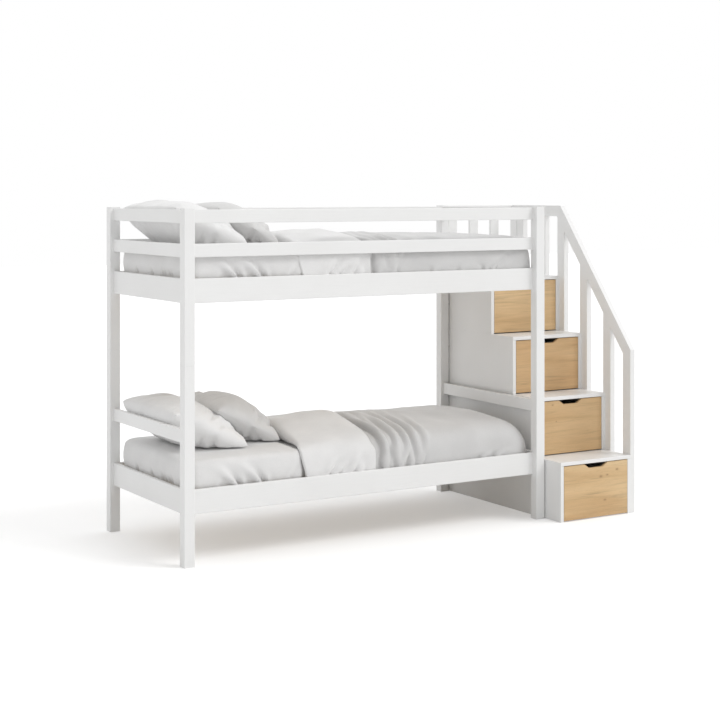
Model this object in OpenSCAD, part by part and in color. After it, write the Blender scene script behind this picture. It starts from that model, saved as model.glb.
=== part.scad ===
// Bunk bed with a storage stair unit: two single beds one above the other,
// four drawers built into the steps, and a balustrade on the open side.
// Origin: centre of the whole footprint, on the floor. +X runs from the head
// end to the stairs, +Y from the front to the back, +Z up. Millimetres.

/* [Mattress space] */
// Length of the mattress
mattress_l = 1970; // [1800:10:2000]
// Width of the mattress
mattress_w = 876; // [780:2:980]
// Thickness of the mattress
mattress_h = 152; // [110:2:160]
// Free gap between the mattress and each end rail
play_l = 16; // [10:1:30]
// Free gap between the mattress and each long rail, where the bedding tucks in
play_w = 12; // [10:1:20]

/* [Posts] */
// Side of the square posts
post = 54; // [52:1:70]
// Height of the posts
post_h = 1680; // [1660:5:1800]
// Height at which the lower and upper halves of a post meet
post_seam = 942; // [860:2:980]
// Rounding of the long edges of posts and rails
edge_r = 3; // [1:0.5:4]

/* [Rails] */
// Thickness of every rail
rail_t = 20; // [18:1:22]
// Height of the guard rails
guard_h = 64; // [58:1:70]
// Height of the rails that carry the slats
bed_rail_h = 116; // [100:2:130]
// Distance from a post's end face to the face of the end rails
end_inset = 19; // [12:1:20]
// Underside of the lower bed rails
lower_rail_z = 240; // [200:5:260]
// Underside of the rail between the lower end posts
end_mid_z = 574; // [560:2:600]
// Distance from the post tops down to the top guard rail
top_drop = 6; // [2:1:12]
// Clear height between the two guard rails
guard_gap = 97; // [80:1:110]
// Clear height between the upper bed rails and the guard rail above them
bed_guard_gap = 100; // [80:1:120]

/* [Slats] */
// Number of slats in each bed
slat_count = 14; // [10:1:16]
// Width of a slat
slat_w = 70; // [50:1:80]
// Thickness of a slat
slat_t = 18; // [15:1:22]
// Height of the cleat under the slats
cleat_h = 30; // [24:1:36]
// Width of the cleat under the slats
cleat_w = 20; // [16:1:30]
// Distance from the top of a bed rail down to the top of the slats
slat_drop = 21; // [12:1:30]
// Width of the tape that spaces the slats
tape_w = 30; // [20:1:40]
// Thickness of the tape
tape_t = 1.5; // [1:0.5:2]

/* [Stair unit] */
// Outer width of the stair carcass
unit_w = 475; // [420:5:540]
// Gap between the foot posts and the stair carcass
unit_gap = 5; // [2:1:8]
// Thickness of the stair panels and treads
panel_t = 20; // [18:1:22]
// Height of the platform above the underside of the upper bed rails
platform_over = 39; // [0:1:60]
// How far the first step stands out in front of the bed
step_out = 138; // [100:2:180]
// Depth of the first tread
first_going = 228; // [210:2:240]
// Depth of the second and third treads
going = 214; // [200:2:220]
// Thickness of the back panels
back_t = 12; // [10:1:15]
// Width of the boards that tie the side panels at the floor
stretcher_w = 80; // [50:5:90]

/* [Drawers] */
// Thickness of a drawer front
front_t = 18; // [16:1:20]
// Gap beside a drawer front
front_gap = 2.5; // [2:0.5:4]
// Gap under a drawer front
front_lift = 6; // [4:1:9]
// Gap above a drawer front
front_top_gap = 3; // [2:0.5:5]
// Width of the finger notch at its top
notch_w = 156; // [120:2:180]
// Width of the finger notch at its bottom
notch_low_w = 92; // [60:2:110]
// Depth of the finger notch
notch_h = 22; // [18:1:30]
// Space behind the uppermost drawer box
tray_back_gap = 10; // [5:1:40]
// Height of the drawer box
tray_h = 190; // [140:5:220]
// Thickness of the drawer box walls
tray_t = 12; // [10:1:15]
// Thickness of the drawer bottom
tray_floor_t = 6; // [5:1:8]
// Space between a side panel and the drawer box, for the slide
slide_space = 13; // [12:0.5:16]
// Height of the slide channel
slide_h = 45; // [35:1:50]

/* [Balustrade] */
// Width of the newel, the balusters and the sloped handrail
baluster_w = 66; // [58:1:70]
// Thickness of the balustrade on the open side
baluster_t = 30; // [26:1:34]
// Height of the level handrail
handrail_h = 62; // [50:1:70]
// How far a baluster laps down over the panel that it is bolted to
lap = 250; // [200:5:270]
// Height of the newel's front edge above the first tread
newel_over = 575; // [540:1:620]
// How far the level handrail starts in front of the platform
level_lead = 15; // [0:1:30]
// How far a baluster's back edge stands behind the front of its box
baluster_back = 12; // [4:1:20]
// Spacing of the platform balusters on the open side
platform_pitch = 184; // [150:2:200]
// Gap between the corner post and the baluster next to it
corner_gap = 4; // [1:1:10]
// Width of the back guard's balusters
back_baluster_w = 58; // [50:1:64]
// Thickness of the back guard
back_guard_t = 20; // [18:1:24]
// Distance from the inner side panel to the first back baluster
back_first = 18; // [10:1:30]
// Spacing of the back balusters
back_pitch = 149.5; // [130:0.5:160]

/* [Joinery] */
// Radius of the wooden dowels
dowel_r = 4; // [3:0.5:5]
// Half length of a dowel
dowel_half = 18; // [12:1:20]
// Radius of the rail connector bolts
bolt_r = 3; // [2.5:0.5:4]
// Depth of a connector bolt in the post
bolt_in_post = 18; // [12:1:20]
// Radius of the connector cams
cam_r = 7.5; // [6:0.5:9]
// Height of a connector cam
cam_h = 12.5; // [10:0.5:14]
// Distance from the rail's end to the cam's axis
cam_x = 34; // [28:1:40]
// Radius of the pins that join the post halves
pin_r = 6; // [4:0.5:8]
// Half length of a post pin
pin_half = 40; // [25:1:50]
// Radial clearance of every fastener in its hole
hole_play = 0.1; // [0.05:0.05:0.3]
// Number of screws in each cleat
cleat_screws_n = 6; // [3:1:9]
// Gap between glued pieces of a drawer box
glue_gap = 0.1; // [0.05:0.05:0.3]

/* [Bedding] */
// Distance from the head rails to the start of the duvet
duvet_start = 640; // [500:10:800]
// Loft of the lower duvet above the mattress, at its head end
duvet_h = 104; // [70:2:110]
// Loft of the lower duvet at its foot end
duvet_foot_h = 66; // [50:2:80]
// Loft of the upper duvet at its head end
duvet_upper_h = 70; // [60:2:90]
// Loft of the upper duvet at its foot end
duvet_upper_foot_h = 44; // [40:2:60]
// Length of the duvet's folded-back band
duvet_band = 383; // [300:1:450]
// Thickness that the folded-back band adds
duvet_band_t = 10; // [6:1:14]
// Thickness of the duvet where it hangs beside the mattress
duvet_side_t = 8; // [5:1:9]
// Height of the duvet's hem above the slats
duvet_hem = 12; // [5:1:60]
// How much shorter a pillow is than the space between the long rails
pillow_short = 250; // [180:10:320]
// Clearance between soft pieces
soft_gap = 0.5; // [0.3:0.1:2]

/* [Hidden] */
$fn = 32;

WHITE = "white";
PINE = "burlywood";
OAK = "tan";
STEEL = "silver";
LINEN = "gainsboro";

// Overall sizes of the bed frame
clear_l = mattress_l + 2 * play_l;
clear_w = mattress_w + 2 * play_w;
bed_l = clear_l + 2 * (end_inset + rail_t);
bed_w = clear_w + 2 * post;
total_l = bed_l + unit_gap + unit_w + baluster_t;
head_x = -total_l / 2;
front_y = -(bed_w - step_out) / 2;
unit_x = head_x + bed_l + unit_gap;
// The long rails lie flush with the posts' inner faces
front_recess = post - rail_t;

// Heights of the undersides of the rails, worked down from the post tops
top_guard_z = post_h - top_drop - guard_h;
mid_guard_z = top_guard_z - guard_gap - guard_h;
upper_rail_z = mid_guard_z - bed_guard_gap - bed_rail_h;
bed_z = [lower_rail_z, upper_rail_z];
long_guard_z = [mid_guard_z, top_guard_z];
end_guard_z = [end_mid_z, mid_guard_z, top_guard_z];

// Heights of the sleeping surfaces, from the top of each bed rail
slat_top_drop = bed_rail_h - slat_drop;
function slat_top(z) = z + slat_top_drop;
function mattress_z(z) = slat_top(z) + tape_t;
mattress_x = head_x + end_inset + rail_t + play_l;
mattress_y = front_y + post + play_w;

// Fasteners of a rail's end: spread of the pairs about the rail's middle
bed_bolt_spread = 30;
guard_dowel_spread = 20;
function bed_bolts(z) = [for (s = [-1, 1]) z + bed_rail_h / 2 + s * bed_bolt_spread];
function bed_dowels(z) = [z + bed_rail_h / 2];
function guard_bolts(z) = [z + guard_h / 2];
function guard_dowels(z) = [for (s = [-1, 1]) z + guard_h / 2 + s * guard_dowel_spread];
function all_bolts(guards) =
    concat([for (z = bed_z) each bed_bolts(z)], [for (z = guards) each guard_bolts(z)]);
function all_dowels(guards) =
    concat([for (z = bed_z) each bed_dowels(z)], [for (z = guards) each guard_dowels(z)]);
bolt_reach = cam_x - cam_r - 2 * hole_play - 0.3;
hole_extra = 0.2;

// Screws of the cleats and of the drawer boxes
screw_r = 2;
screw_head_r = 4;
screw_head_t = 2.5;
screw_in_rail = 12;

// Stair unit, measured from the bed's front; four equal steps reach the platform
steps = 4;
rise = (upper_rail_z + platform_over) / steps;
carcass_back = bed_w - back_guard_t;
function box_front(i) = i == 0 ? -step_out : first_going - step_out + (i - 1) * going;
function step_top(i) = rise * (i + 1);
cell_w = unit_w - 2 * panel_t;
front_w = cell_w - 2 * front_gap;
front_h = rise - panel_t - front_lift - front_top_gap;
tray_w = cell_w - 2 * slide_space;
tray_l = carcass_back - back_t - tray_back_gap - front_t - box_front(steps - 1);
tray_lift = 24;
groove = 6;
groove_z = 10;
// Connectors of a drawer front, and screws of a drawer back
fix_r = 2.5;
fix_in_front = 11;
fix_cam_y = 24;
fix_cam_r = 5;
fix_cam_h = 9;
fix_z = [0.25, 0.75];
screw_in_back = 20;
shelf_overhang = 4;
shelf_l = tray_l + front_t + shelf_overhang;
slide_setback = 5;
stretcher_inset = front_t + slide_setback;

// Slides: a channel on the panel and a bar on the drawer box
channel_w = 11;
channel_wall = 1.5;
slide_play = 0.3;
bar_gap = 4;
bar_w = slide_space - bar_gap;
slide_up = 62;
slide_z = tray_lift + slide_up;
slide_short = 10;
slide_l = tray_l - slide_short;

// Balustrade, measured from the bed's front: a sloped rail between two mitres
newel_h = step_top(0) + newel_over;
level_start = box_front(steps - 1) - level_lead;
slope = atan2(post_h - newel_h, level_start + step_out);
rail_under_z = post_h - handrail_h;
function slope_under(y) =
    post_h - baluster_w * cos(slope)
    + (y - level_start - baluster_w * sin(slope)) * tan(slope);
mitre_y = level_start + baluster_w * sin(slope)
    + (baluster_w * cos(slope) - handrail_h) / tan(slope);
newel_back = baluster_w - step_out;
newel_mitre_z = slope_under(newel_back);
// Front edges of the balusters on the sloped part and on the platform
stair_baluster_y = [for (i = [1:3]) box_front(i) + baluster_back - baluster_w];
corner_y = bed_w - baluster_w;
platform_baluster_y = [
    stair_baluster_y[2] + platform_pitch, corner_y - corner_gap - baluster_w, corner_y
];
back_baluster_x = [for (i = [0:2]) back_first + i * back_pitch];
platform_z = step_top(3);
lap_z = platform_z - lap;

// Bolts of the stair unit: a flat head let into the panel, and a plain shank
head_r = 6.5;
head_t = 3;
shank_in_wood = 18;
lap_bolt_drop = [60, 170];
newel_bolt_z = 40;
spacer_r = 10;
front_join_y = post / 2;
back_join_in = 40;
back_join_y = bed_w - back_join_in;
front_join_z = [135, 250];
back_join_low = 150;
back_join_drop = 84;
back_join_z = [back_join_low, step_top(2) - panel_t - back_join_drop];
upper_join_rise = 146;
upper_join_z = [step_top(2) + upper_join_rise];
join_in_post = 30;

// Height and depth of the line at the seams of the posts and of the inner panels
seam_line = 1.2;
seam_depth = 1.5;

// Bedding
duvet_x = head_x + end_inset + rail_t + duvet_start;
mattress_end_x = mattress_x + mattress_l;
duvet_end_x = mattress_end_x + duvet_side_t + soft_gap;
duvet_l = duvet_end_x - duvet_x;
duvet_w = mattress_w + 2 * (soft_gap + duvet_side_t);
// Edge of the duvet's section, from its side face and the mattress's top
duvet_edge = [[0, -8], [8, 10], [24, 24], [50, 34]];
duvet_crown_n = 10;
duvet_crown_power = 1.4;
duvet_head_bevel = 40;
duvet_foot_rise = 15;
duvet_foot_slope = 1.35;
mattress_r = 45;

// ---- Shared shapes ----

// A rectangle with rounded corners, from its lower left corner
module soft_rect(w, h, r) {
    translate([r, 0]) square([w - 2 * r, h]);
    translate([0, r]) square([w, h - 2 * r]);
    for (x = [r, w - r], y = [r, h - r]) translate([x, y]) circle(r = r);
}

// Bars with rounded long edges along X, Y and Z
module bar_x(l, w, h) { rotate([90, 0, 90]) linear_extrude(l) soft_rect(w, h, edge_r); }
module bar_y(l, w, h) {
    translate([0, l, 0]) rotate([90, 0, 0]) linear_extrude(l) soft_rect(w, h, edge_r);
}
module bar_z(w, d, h) { linear_extrude(h) soft_rect(w, d, edge_r); }

// A profile in Y and Z, extruded along X
module extrude_x(t) { rotate([90, 0, 90]) linear_extrude(t) children(); }
// A profile in X and Z, extruded along Y
module extrude_y(l) { translate([0, l, 0]) rotate([90, 0, 0]) linear_extrude(l) children(); }

// A cylinder along +X from the origin
module rod_x(r, l) { rotate([0, 90, 0]) cylinder(r = r, h = l); }
// A cylinder along +Y from the origin
module rod_y(r, l) { rotate([-90, 0, 0]) cylinder(r = r, h = l); }

// A flush-headed screw along +X with its head's face at the origin
module screw_x(shank, play = 0, extra = 0) {
    translate([-extra, 0, 0]) rod_x(screw_head_r + play, screw_head_t + extra);
    rod_x(screw_r + play, screw_head_t + shank + (play > 0 ? hole_extra : 0));
}

// ---- Bed frame: local frames ----

// The corner of one post, with X and Y running inwards (end 1: foot, side 1: back)
module at_post(end, side) {
    translate([head_x + end * bed_l, front_y + side * bed_w, 0])
        mirror([end, 0, 0]) mirror([0, side, 0]) children();
}

// The end of a long rail: X runs into the rail, Y towards its inner face
module at_long_joint(end, side) {
    at_post(end, side) translate([post, front_recess + rail_t / 2, 0]) children();
}

// The end of an end rail: X runs into the rail, Y towards its inner face
module at_end_joint(end, side) {
    at_post(end, side) translate([end_inset + rail_t / 2, post, 0])
        mirror([1, -1, 0]) children();
}

module joint_bolts(heights, play = 0, extra = 0) {
    for (z = heights) translate([-bolt_in_post - extra, 0, z])
        rod_x(bolt_r + play, bolt_in_post + bolt_reach + extra + play);
}

module joint_dowels(heights, play = 0, extra = 0) {
    for (z = heights) translate([-dowel_half - extra, 0, z])
        rod_x(dowel_r + play, 2 * (dowel_half + extra));
}

module joint_cams(heights, play = 0) {
    for (z = heights) translate([cam_x, rail_t / 2 - cam_h, z])
        rod_y(cam_r + play, cam_h + play);
}

module joint_holes(bolts, dowels) {
    joint_bolts(bolts, hole_play, hole_extra);
    joint_dowels(dowels, hole_play, hole_extra);
}

module rail_holes(bolts, dowels) {
    joint_holes(bolts, dowels);
    joint_cams(bolts, hole_play);
    for (z = bolts) translate([0, 0, z]) rod_x(bolt_r + hole_play, cam_x);
}

// ---- Posts ----

// A pin of the post joint, with its middle at the seam
module seam_pin(play = 0, extra = 0) {
    translate([post / 2, post / 2, post_seam - pin_half - extra])
        cylinder(r = pin_r + play, h = 2 * (pin_half + extra));
}

// Holes for the bolts that join a foot post to the stair unit
module join_holes(side) {
    y = side == 0 ? front_join_y : bed_w - back_join_y;
    for (z = side == 0 ? front_join_z : concat(back_join_z, upper_join_z))
        translate([-1, y, z]) rod_x(bolt_r + hole_play, join_in_post + hole_extra + 1);
}

// The upper half starts with a shallow rebate, which shows as a thin line at the seam
module post_half(end, side, z0, z1) {
    step = z0 > 0 ? seam_line : 0;
    color(WHITE) at_post(end, side) difference() {
        union() {
            translate([0, 0, z0 + step]) bar_z(post, post, z1 - z0 - step);
            if (step > 0) translate([seam_depth, seam_depth, z0])
                bar_z(post - 2 * seam_depth, post - 2 * seam_depth, 2 * step);
        }
        translate([post, front_recess + rail_t / 2, 0])
            joint_holes(all_bolts(long_guard_z), all_dowels(long_guard_z));
        translate([end_inset + rail_t / 2, post, 0]) mirror([1, -1, 0])
            joint_holes(all_bolts(end_guard_z), all_dowels(end_guard_z));
        seam_pin(hole_play, hole_extra);
        if (end == 1) join_holes(side);
    }
}

module post_head_front_lower() { post_half(0, 0, 0, post_seam); }
module post_head_front_upper() { post_half(0, 0, post_seam, post_h); }
module post_head_back_lower() { post_half(0, 1, 0, post_seam); }
module post_head_back_upper() { post_half(0, 1, post_seam, post_h); }
module post_foot_front_lower() { post_half(1, 0, 0, post_seam); }
module post_foot_front_upper() { post_half(1, 0, post_seam, post_h); }
module post_foot_back_lower() { post_half(1, 1, 0, post_seam); }
module post_foot_back_upper() { post_half(1, 1, post_seam, post_h); }

module post_joint_pins() {
    color(STEEL) for (end = [0, 1], side = [0, 1]) at_post(end, side) seam_pin();
}

// ---- Rails ----

module long_rail(side, z, h, bolts, dowels) {
    color(WHITE) difference() {
        translate([head_x + post, side == 0 ? front_y + front_recess : front_y + bed_w - post, z])
            bar_x(bed_l - 2 * post, rail_t, h);
        for (end = [0, 1]) at_long_joint(end, side) rail_holes(bolts, dowels);
    }
}

module end_rail(end, z, h, bolts, dowels) {
    x = end == 0 ? head_x + end_inset : head_x + bed_l - end_inset - rail_t;
    color(WHITE) difference() {
        translate([x, front_y + post, z]) bar_y(clear_w, rail_t, h);
        for (side = [0, 1]) at_end_joint(end, side) rail_holes(bolts, dowels);
    }
}

module long_bed_rail(side, z) {
    color(WHITE) difference() {
        long_rail(side, z, bed_rail_h, bed_bolts(z), bed_dowels(z));
        cleat_screw_row(side, z, hole_play);
    }
}
module long_guard(side, z) { long_rail(side, z, guard_h, guard_bolts(z), guard_dowels(z)); }
module end_guard(end, z) { end_rail(end, z, guard_h, guard_bolts(z), guard_dowels(z)); }

module front_bed_rail_lower() { long_bed_rail(0, lower_rail_z); }
module front_bed_rail_upper() { long_bed_rail(0, upper_rail_z); }
module front_guard_rail_mid() { long_guard(0, mid_guard_z); }
module front_guard_rail_top() { long_guard(0, top_guard_z); }
module back_bed_rails() { for (z = bed_z) long_bed_rail(1, z); }
module back_guard_rails() { for (z = long_guard_z) long_guard(1, z); }
module end_bed_rails() {
    for (end = [0, 1], z = bed_z) end_rail(end, z, bed_rail_h, bed_bolts(z), bed_dowels(z));
}
module head_guard_rails() { for (z = end_guard_z) end_guard(0, z); }
module foot_guard_rails() { for (z = end_guard_z) end_guard(1, z); }

// ---- Slatted bases ----

// Screws through one cleat into its rail
module cleat_screw_row(side, z, play = 0, extra = 0) {
    at_post(0, side) for (i = [0.5:cleat_screws_n])
        translate([
            end_inset + rail_t + i * clear_l / cleat_screws_n,
            post + cleat_w,
            slat_top(z) - slat_t - cleat_h / 2
        ]) rotate([0, 0, -90])
            screw_x(cleat_w - screw_head_t + screw_in_rail, play, extra);
}

module slat_cleats() {
    color(PINE) for (z = bed_z, side = [0, 1]) difference() {
        at_post(0, side) translate([end_inset + rail_t, post, slat_top(z) - slat_t - cleat_h])
            cube([clear_l, cleat_w, cleat_h]);
        cleat_screw_row(side, z, hole_play, 1);
    }
}

module cleat_screws() {
    color(STEEL) for (z = bed_z, side = [0, 1]) cleat_screw_row(side, z);
}

slat_margin = 20;
slat_pitch = (clear_l - 2 * slat_margin - slat_w) / (slat_count - 1);
slat_side_play = 2;
slat_x0 = head_x + end_inset + rail_t + slat_margin;

module bed_slats() {
    color(PINE) for (z = bed_z, i = [0:slat_count - 1])
        translate([slat_x0 + i * slat_pitch, front_y + post + slat_side_play, slat_top(z) - slat_t])
            cube([slat_w, clear_w - 2 * slat_side_play, slat_t]);
}

module slat_tapes() {
    tape_inset = clear_w / 5;
    color(LINEN) for (z = bed_z, y = [tape_inset, clear_w - tape_inset - tape_w])
        translate([slat_x0, front_y + post + y, slat_top(z)])
            cube([clear_l - 2 * slat_margin, tape_w, tape_t]);
}

// ---- Fasteners of the bed ----

// Each connector is a bolt in the post and a cam in the rail
module connectors(heights) {
    joint_bolts(heights);
    joint_cams(heights);
}

module rail_connectors() {
    color(STEEL) for (end = [0, 1], side = [0, 1]) {
        at_long_joint(end, side) connectors(all_bolts(long_guard_z));
        at_end_joint(end, side) connectors(all_bolts(end_guard_z));
    }
}

// A dowel standing on its middle, along Z
module upright_dowel(play = 0, extra = 0) {
    translate([0, 0, -dowel_half - extra])
        cylinder(r = dowel_r + play, h = 2 * (dowel_half + extra));
}

module wood_dowels() {
    color(PINE) {
        for (end = [0, 1], side = [0, 1]) {
            at_long_joint(end, side) joint_dowels(all_dowels(long_guard_z));
            at_end_joint(end, side) joint_dowels(all_dowels(end_guard_z));
        }
        at_unit() {
            unit_dowels();
            railing_dowels();
        }
    }
}

// ---- Stair unit ----

// The stair unit's frame: X from its inner face, Y from the bed's front
module at_unit() { translate([unit_x, front_y, 0]) children(); }

// Dowels between each board and the side panels under it
board_dowel_in = 12;
board_dowel_edge = 50;
function board_span(i) =
    i < 2 ? [box_front(i), box_front(i + 1)] : [box_front(i), carcass_back];
module board_dowels(play, extra) {
    for (i = [0:steps - 1])
        for (y = [board_span(i)[0] + board_dowel_edge, board_span(i)[1] - board_dowel_edge])
            translate([panel_t / 2, y, step_top(i) - panel_t + board_dowel_in - dowel_half])
                upright_dowel(play, extra);
}

// Dowels in the feet of the upper side panels, which stand on the deck
foot_dowel_edge = 90;
module foot_dowels(play, extra) {
    for (y = [box_front(3) + foot_dowel_edge, carcass_back - foot_dowel_edge])
        translate([panel_t / 2, y, step_top(2) - board_dowel_in + dowel_half])
            upright_dowel(play, extra);
}

// Dowels along X between a side panel and a piece that stands between the panels: [y, z]
shelf_dowel_edge = 60;
stretcher_y = [box_front(0) + stretcher_inset, carcass_back - back_t - stretcher_w];
edge_dowel_places = concat(
    [for (y = stretcher_y, k = [0.25, 0.75]) [y + k * stretcher_w, panel_t / 2]],
    [for (i = [0:1], y = [shelf_dowel_edge, shelf_l - shelf_dowel_edge])
        [box_front(i + 1) + y, step_top(i) - panel_t / 2]],
    [for (k = [0.15, 0.5, 0.85]) [carcass_back - back_t / 2, k * (step_top(2) - panel_t)]],
    [for (k = [0.25, 0.75]) [carcass_back - back_t / 2, step_top(2) + k * (rise - panel_t)]]
);
module edge_dowels(play, extra) {
    for (p = edge_dowel_places)
        translate([panel_t - board_dowel_in - extra, p[0], p[1]])
            rod_x(dowel_r + play, 2 * (dowel_half + extra));
}

// All the dowels of the carcass, on both sides
module unit_dowels(play = 0, extra = 0) {
    for (side = [0, 1]) translate([side * unit_w, 0, 0]) mirror([side, 0, 0]) {
        board_dowels(play, extra);
        foot_dowels(play, extra);
        edge_dowels(play, extra);
    }
}

module step_profile() {
    polygon([
        [box_front(0), 0], [carcass_back, 0],
        [carcass_back, step_top(2) - panel_t], [box_front(2), step_top(2) - panel_t],
        [box_front(2), step_top(1) - panel_t], [box_front(1), step_top(1) - panel_t],
        [box_front(1), step_top(0) - panel_t], [box_front(0), step_top(0) - panel_t]
    ]);
}

module lower_panel() {
    difference() {
        extrude_x(panel_t) step_profile();
        children();
    }
}

module upper_panel() {
    difference() {
        translate([0, box_front(3), step_top(2)])
            cube([panel_t, carcass_back - box_front(3), rise - panel_t]);
        children();
    }
}

// A bolt along +X with its head's face at the origin
module unit_bolt(shank, play = 0, extra = 0) {
    translate([-extra, 0, 0]) rod_x(head_r + play, head_t + extra);
    rod_x(bolt_r + play, head_t + shank + (play > 0 ? hole_extra : 0));
}

// Places of the bolts from the outer panel into the balustrade: [y, z]
newel_mid_y = newel_back - baluster_w / 2;
function lap_bolts(y, top) = [for (d = lap_bolt_drop) [y, top - d]];
// The first baluster laps a panel that ends at the next box's front
function lap_bolt_y(i) = (stair_baluster_y[i] + box_front(i + 1)) / 2;
lower_lap_bolts = concat(
    [[newel_mid_y, newel_bolt_z], [newel_mid_y, step_top(0) - lap_bolt_drop[0] - panel_t]],
    [for (i = [0:1]) each lap_bolts(lap_bolt_y(i), step_top(i) - panel_t)],
    lap_bolts(stair_baluster_y[2] + baluster_w / 2, step_top(2) - panel_t)
);
upper_lap_bolts = concat(
    [for (i = [0:1]) each lap_bolts(platform_baluster_y[i] + baluster_w / 2, platform_z - panel_t)],
    lap_bolts((corner_y + carcass_back) / 2, platform_z - panel_t)
);

module lap_bolt_set(places, play = 0, extra = 0) {
    for (p = places) translate([unit_w - panel_t, p[0], p[1]])
        unit_bolt(panel_t - head_t + shank_in_wood, play, extra);
}

// Bolts from the back panel into the back guard, along +Y
module back_bolt_set(play = 0, extra = 0) {
    for (x = back_baluster_x, d = lap_bolt_drop)
        translate([x + back_baluster_w / 2, carcass_back - back_t, platform_z - panel_t - d])
            rotate([0, 0, 90]) unit_bolt(back_t - head_t + back_guard_t - 6, play, extra);
}

// Bolts from the inner panels into the foot posts, along -X
module join_bolt_set(y, heights, play = 0, extra = 0) {
    for (z = heights) translate([panel_t, y, z])
        rotate([0, 0, 180]) unit_bolt(panel_t - head_t + unit_gap + join_in_post, play, extra);
}

module join_spacers(y, heights) {
    for (z = heights) translate([-unit_gap, y, z]) difference() {
        rod_x(spacer_r, unit_gap);
        translate([-1, 0, 0]) rod_x(bolt_r + hole_play, unit_gap + 2);
    }
}

module stair_panel_inner_lower() {
    color(WHITE) at_unit() lower_panel() {
        unit_dowels(hole_play, hole_extra);
        join_bolt_set(front_join_y, front_join_z, hole_play, 1);
        join_bolt_set(back_join_y, back_join_z, hole_play, 1);
    }
}

module stair_panel_outer_lower() {
    color(WHITE) at_unit() translate([unit_w - panel_t, 0, 0]) lower_panel()
        translate([panel_t - unit_w, 0, 0]) {
            unit_dowels(hole_play, hole_extra);
            lap_bolt_set(lower_lap_bolts, hole_play, 1);
        }
}

module stair_panel_inner_upper() {
    color(WHITE) at_unit() difference() {
        upper_panel() {
            unit_dowels(hole_play, hole_extra);
            join_bolt_set(back_join_y, upper_join_z, hole_play, 1);
        }
        translate([-1, -1, step_top(2) - 1])
            cube([1 + seam_depth, carcass_back + 2, 1 + seam_line]);
    }
}

module stair_panel_outer_upper() {
    color(WHITE) at_unit() translate([unit_w - panel_t, 0, 0]) upper_panel()
        translate([panel_t - unit_w, 0, 0]) {
            unit_dowels(hole_play, hole_extra);
            lap_bolt_set(upper_lap_bolts, hole_play, 1);
        }
}

// A full-width tread with its rounded front edge, and a shelf between the panels
module tread_board(i) {
    color(WHITE) at_unit() difference() {
        translate([0, 0, step_top(i) - panel_t]) {
            translate([0, box_front(i), 0]) bar_x(unit_w, box_front(i + 1) - box_front(i), panel_t);
            translate([panel_t, box_front(i + 1) - panel_t, 0])
                cube([cell_w, shelf_l + panel_t, panel_t]);
        }
        unit_dowels(hole_play, hole_extra);
    }
}

module full_board(i) {
    color(WHITE) at_unit() difference() {
        translate([0, box_front(i), step_top(i) - panel_t])
            bar_x(unit_w, carcass_back - box_front(i), panel_t);
        unit_dowels(hole_play, hole_extra);
    }
}

module tread_board_first() { tread_board(0); }
module tread_board_second() { tread_board(1); }
module deck_board() { full_board(2); }
module platform_board() { full_board(3); }

module stair_back_panels() {
    color(WHITE) at_unit() difference() {
        translate([panel_t, carcass_back - back_t, 0]) {
            cube([cell_w, back_t, step_top(2) - panel_t]);
            translate([0, 0, step_top(2)]) cube([cell_w, back_t, rise - panel_t]);
        }
        back_bolt_set(hole_play, 1);
        unit_dowels(hole_play, hole_extra);
    }
}

module floor_stretchers() {
    color(WHITE) at_unit() difference() {
        for (y = stretcher_y) translate([panel_t, y, 0]) cube([cell_w, stretcher_w, panel_t]);
        unit_dowels(hole_play, hole_extra);
    }
}

// C-shaped channel on the panel's inner face, open towards the drawer
module channel_profile() {
    difference() {
        square([channel_w, slide_h]);
        translate([channel_wall, channel_wall])
            square([channel_w, slide_h - 2 * channel_wall]);
    }
}

module slide_channels() {
    color(STEEL) at_unit() for (i = [0:steps - 1])
        translate([0, box_front(i) + front_t + slide_setback, step_top(i) - rise + slide_z - slide_h / 2]) {
            translate([panel_t, 0, 0]) extrude_y(slide_l) channel_profile();
            translate([unit_w - panel_t, 0, 0]) mirror([1, 0, 0])
                extrude_y(slide_l) channel_profile();
        }
}

module unit_bolts() {
    color(STEEL) at_unit() {
        lap_bolt_set(lower_lap_bolts);
        lap_bolt_set(upper_lap_bolts);
        back_bolt_set();
        join_bolt_set(front_join_y, front_join_z);
        join_bolt_set(back_join_y, concat(back_join_z, upper_join_z));
        join_spacers(front_join_y, front_join_z);
        join_spacers(back_join_y, concat(back_join_z, upper_join_z));
    }
}

// ---- Balustrade ----

// Dowels that stand in the balusters and reach into the handrails
module railing_dowels(play = 0, extra = 0) {
    x = unit_w + baluster_t / 2;
    for (y = stair_baluster_y) translate([x, y + baluster_w / 2, slope_under(y + baluster_w / 2)])
        upright_dowel(play, extra);
    for (y = platform_baluster_y) translate([x, y + baluster_w / 2, rail_under_z])
        upright_dowel(play, extra);
    translate([x, newel_mid_y, (newel_h + newel_mitre_z) / 2]) upright_dowel(play, extra);
    // Across the upper mitre
    translate([x, (level_start + mitre_y) / 2, post_h - handrail_h / 2])
        rotate([90, 0, 0]) upright_dowel(play, extra);
    // The back guard
    for (bx = back_baluster_x)
        translate([bx + back_baluster_w / 2, bed_w - back_guard_t / 2, rail_under_z])
            upright_dowel(play, extra);
    translate([unit_w, bed_w - back_guard_t / 2, post_h - handrail_h / 2])
        rotate([0, 90, 0]) upright_dowel(play, extra);
}

// A piece of the balustrade on the open side, from its outline in Y and Z
module railing_piece(points) {
    difference() {
        translate([unit_w, 0, 0]) extrude_x(baluster_t) polygon(points);
        railing_dowels(hole_play, hole_extra);
        lap_bolt_set(lower_lap_bolts, hole_play, 0);
        lap_bolt_set(upper_lap_bolts, hole_play, 0);
    }
}

module newel_post() {
    color(WHITE) at_unit() railing_piece([
        [-step_out, 0], [newel_back, 0], [newel_back, newel_mitre_z], [-step_out, newel_h]
    ]);
}

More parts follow.
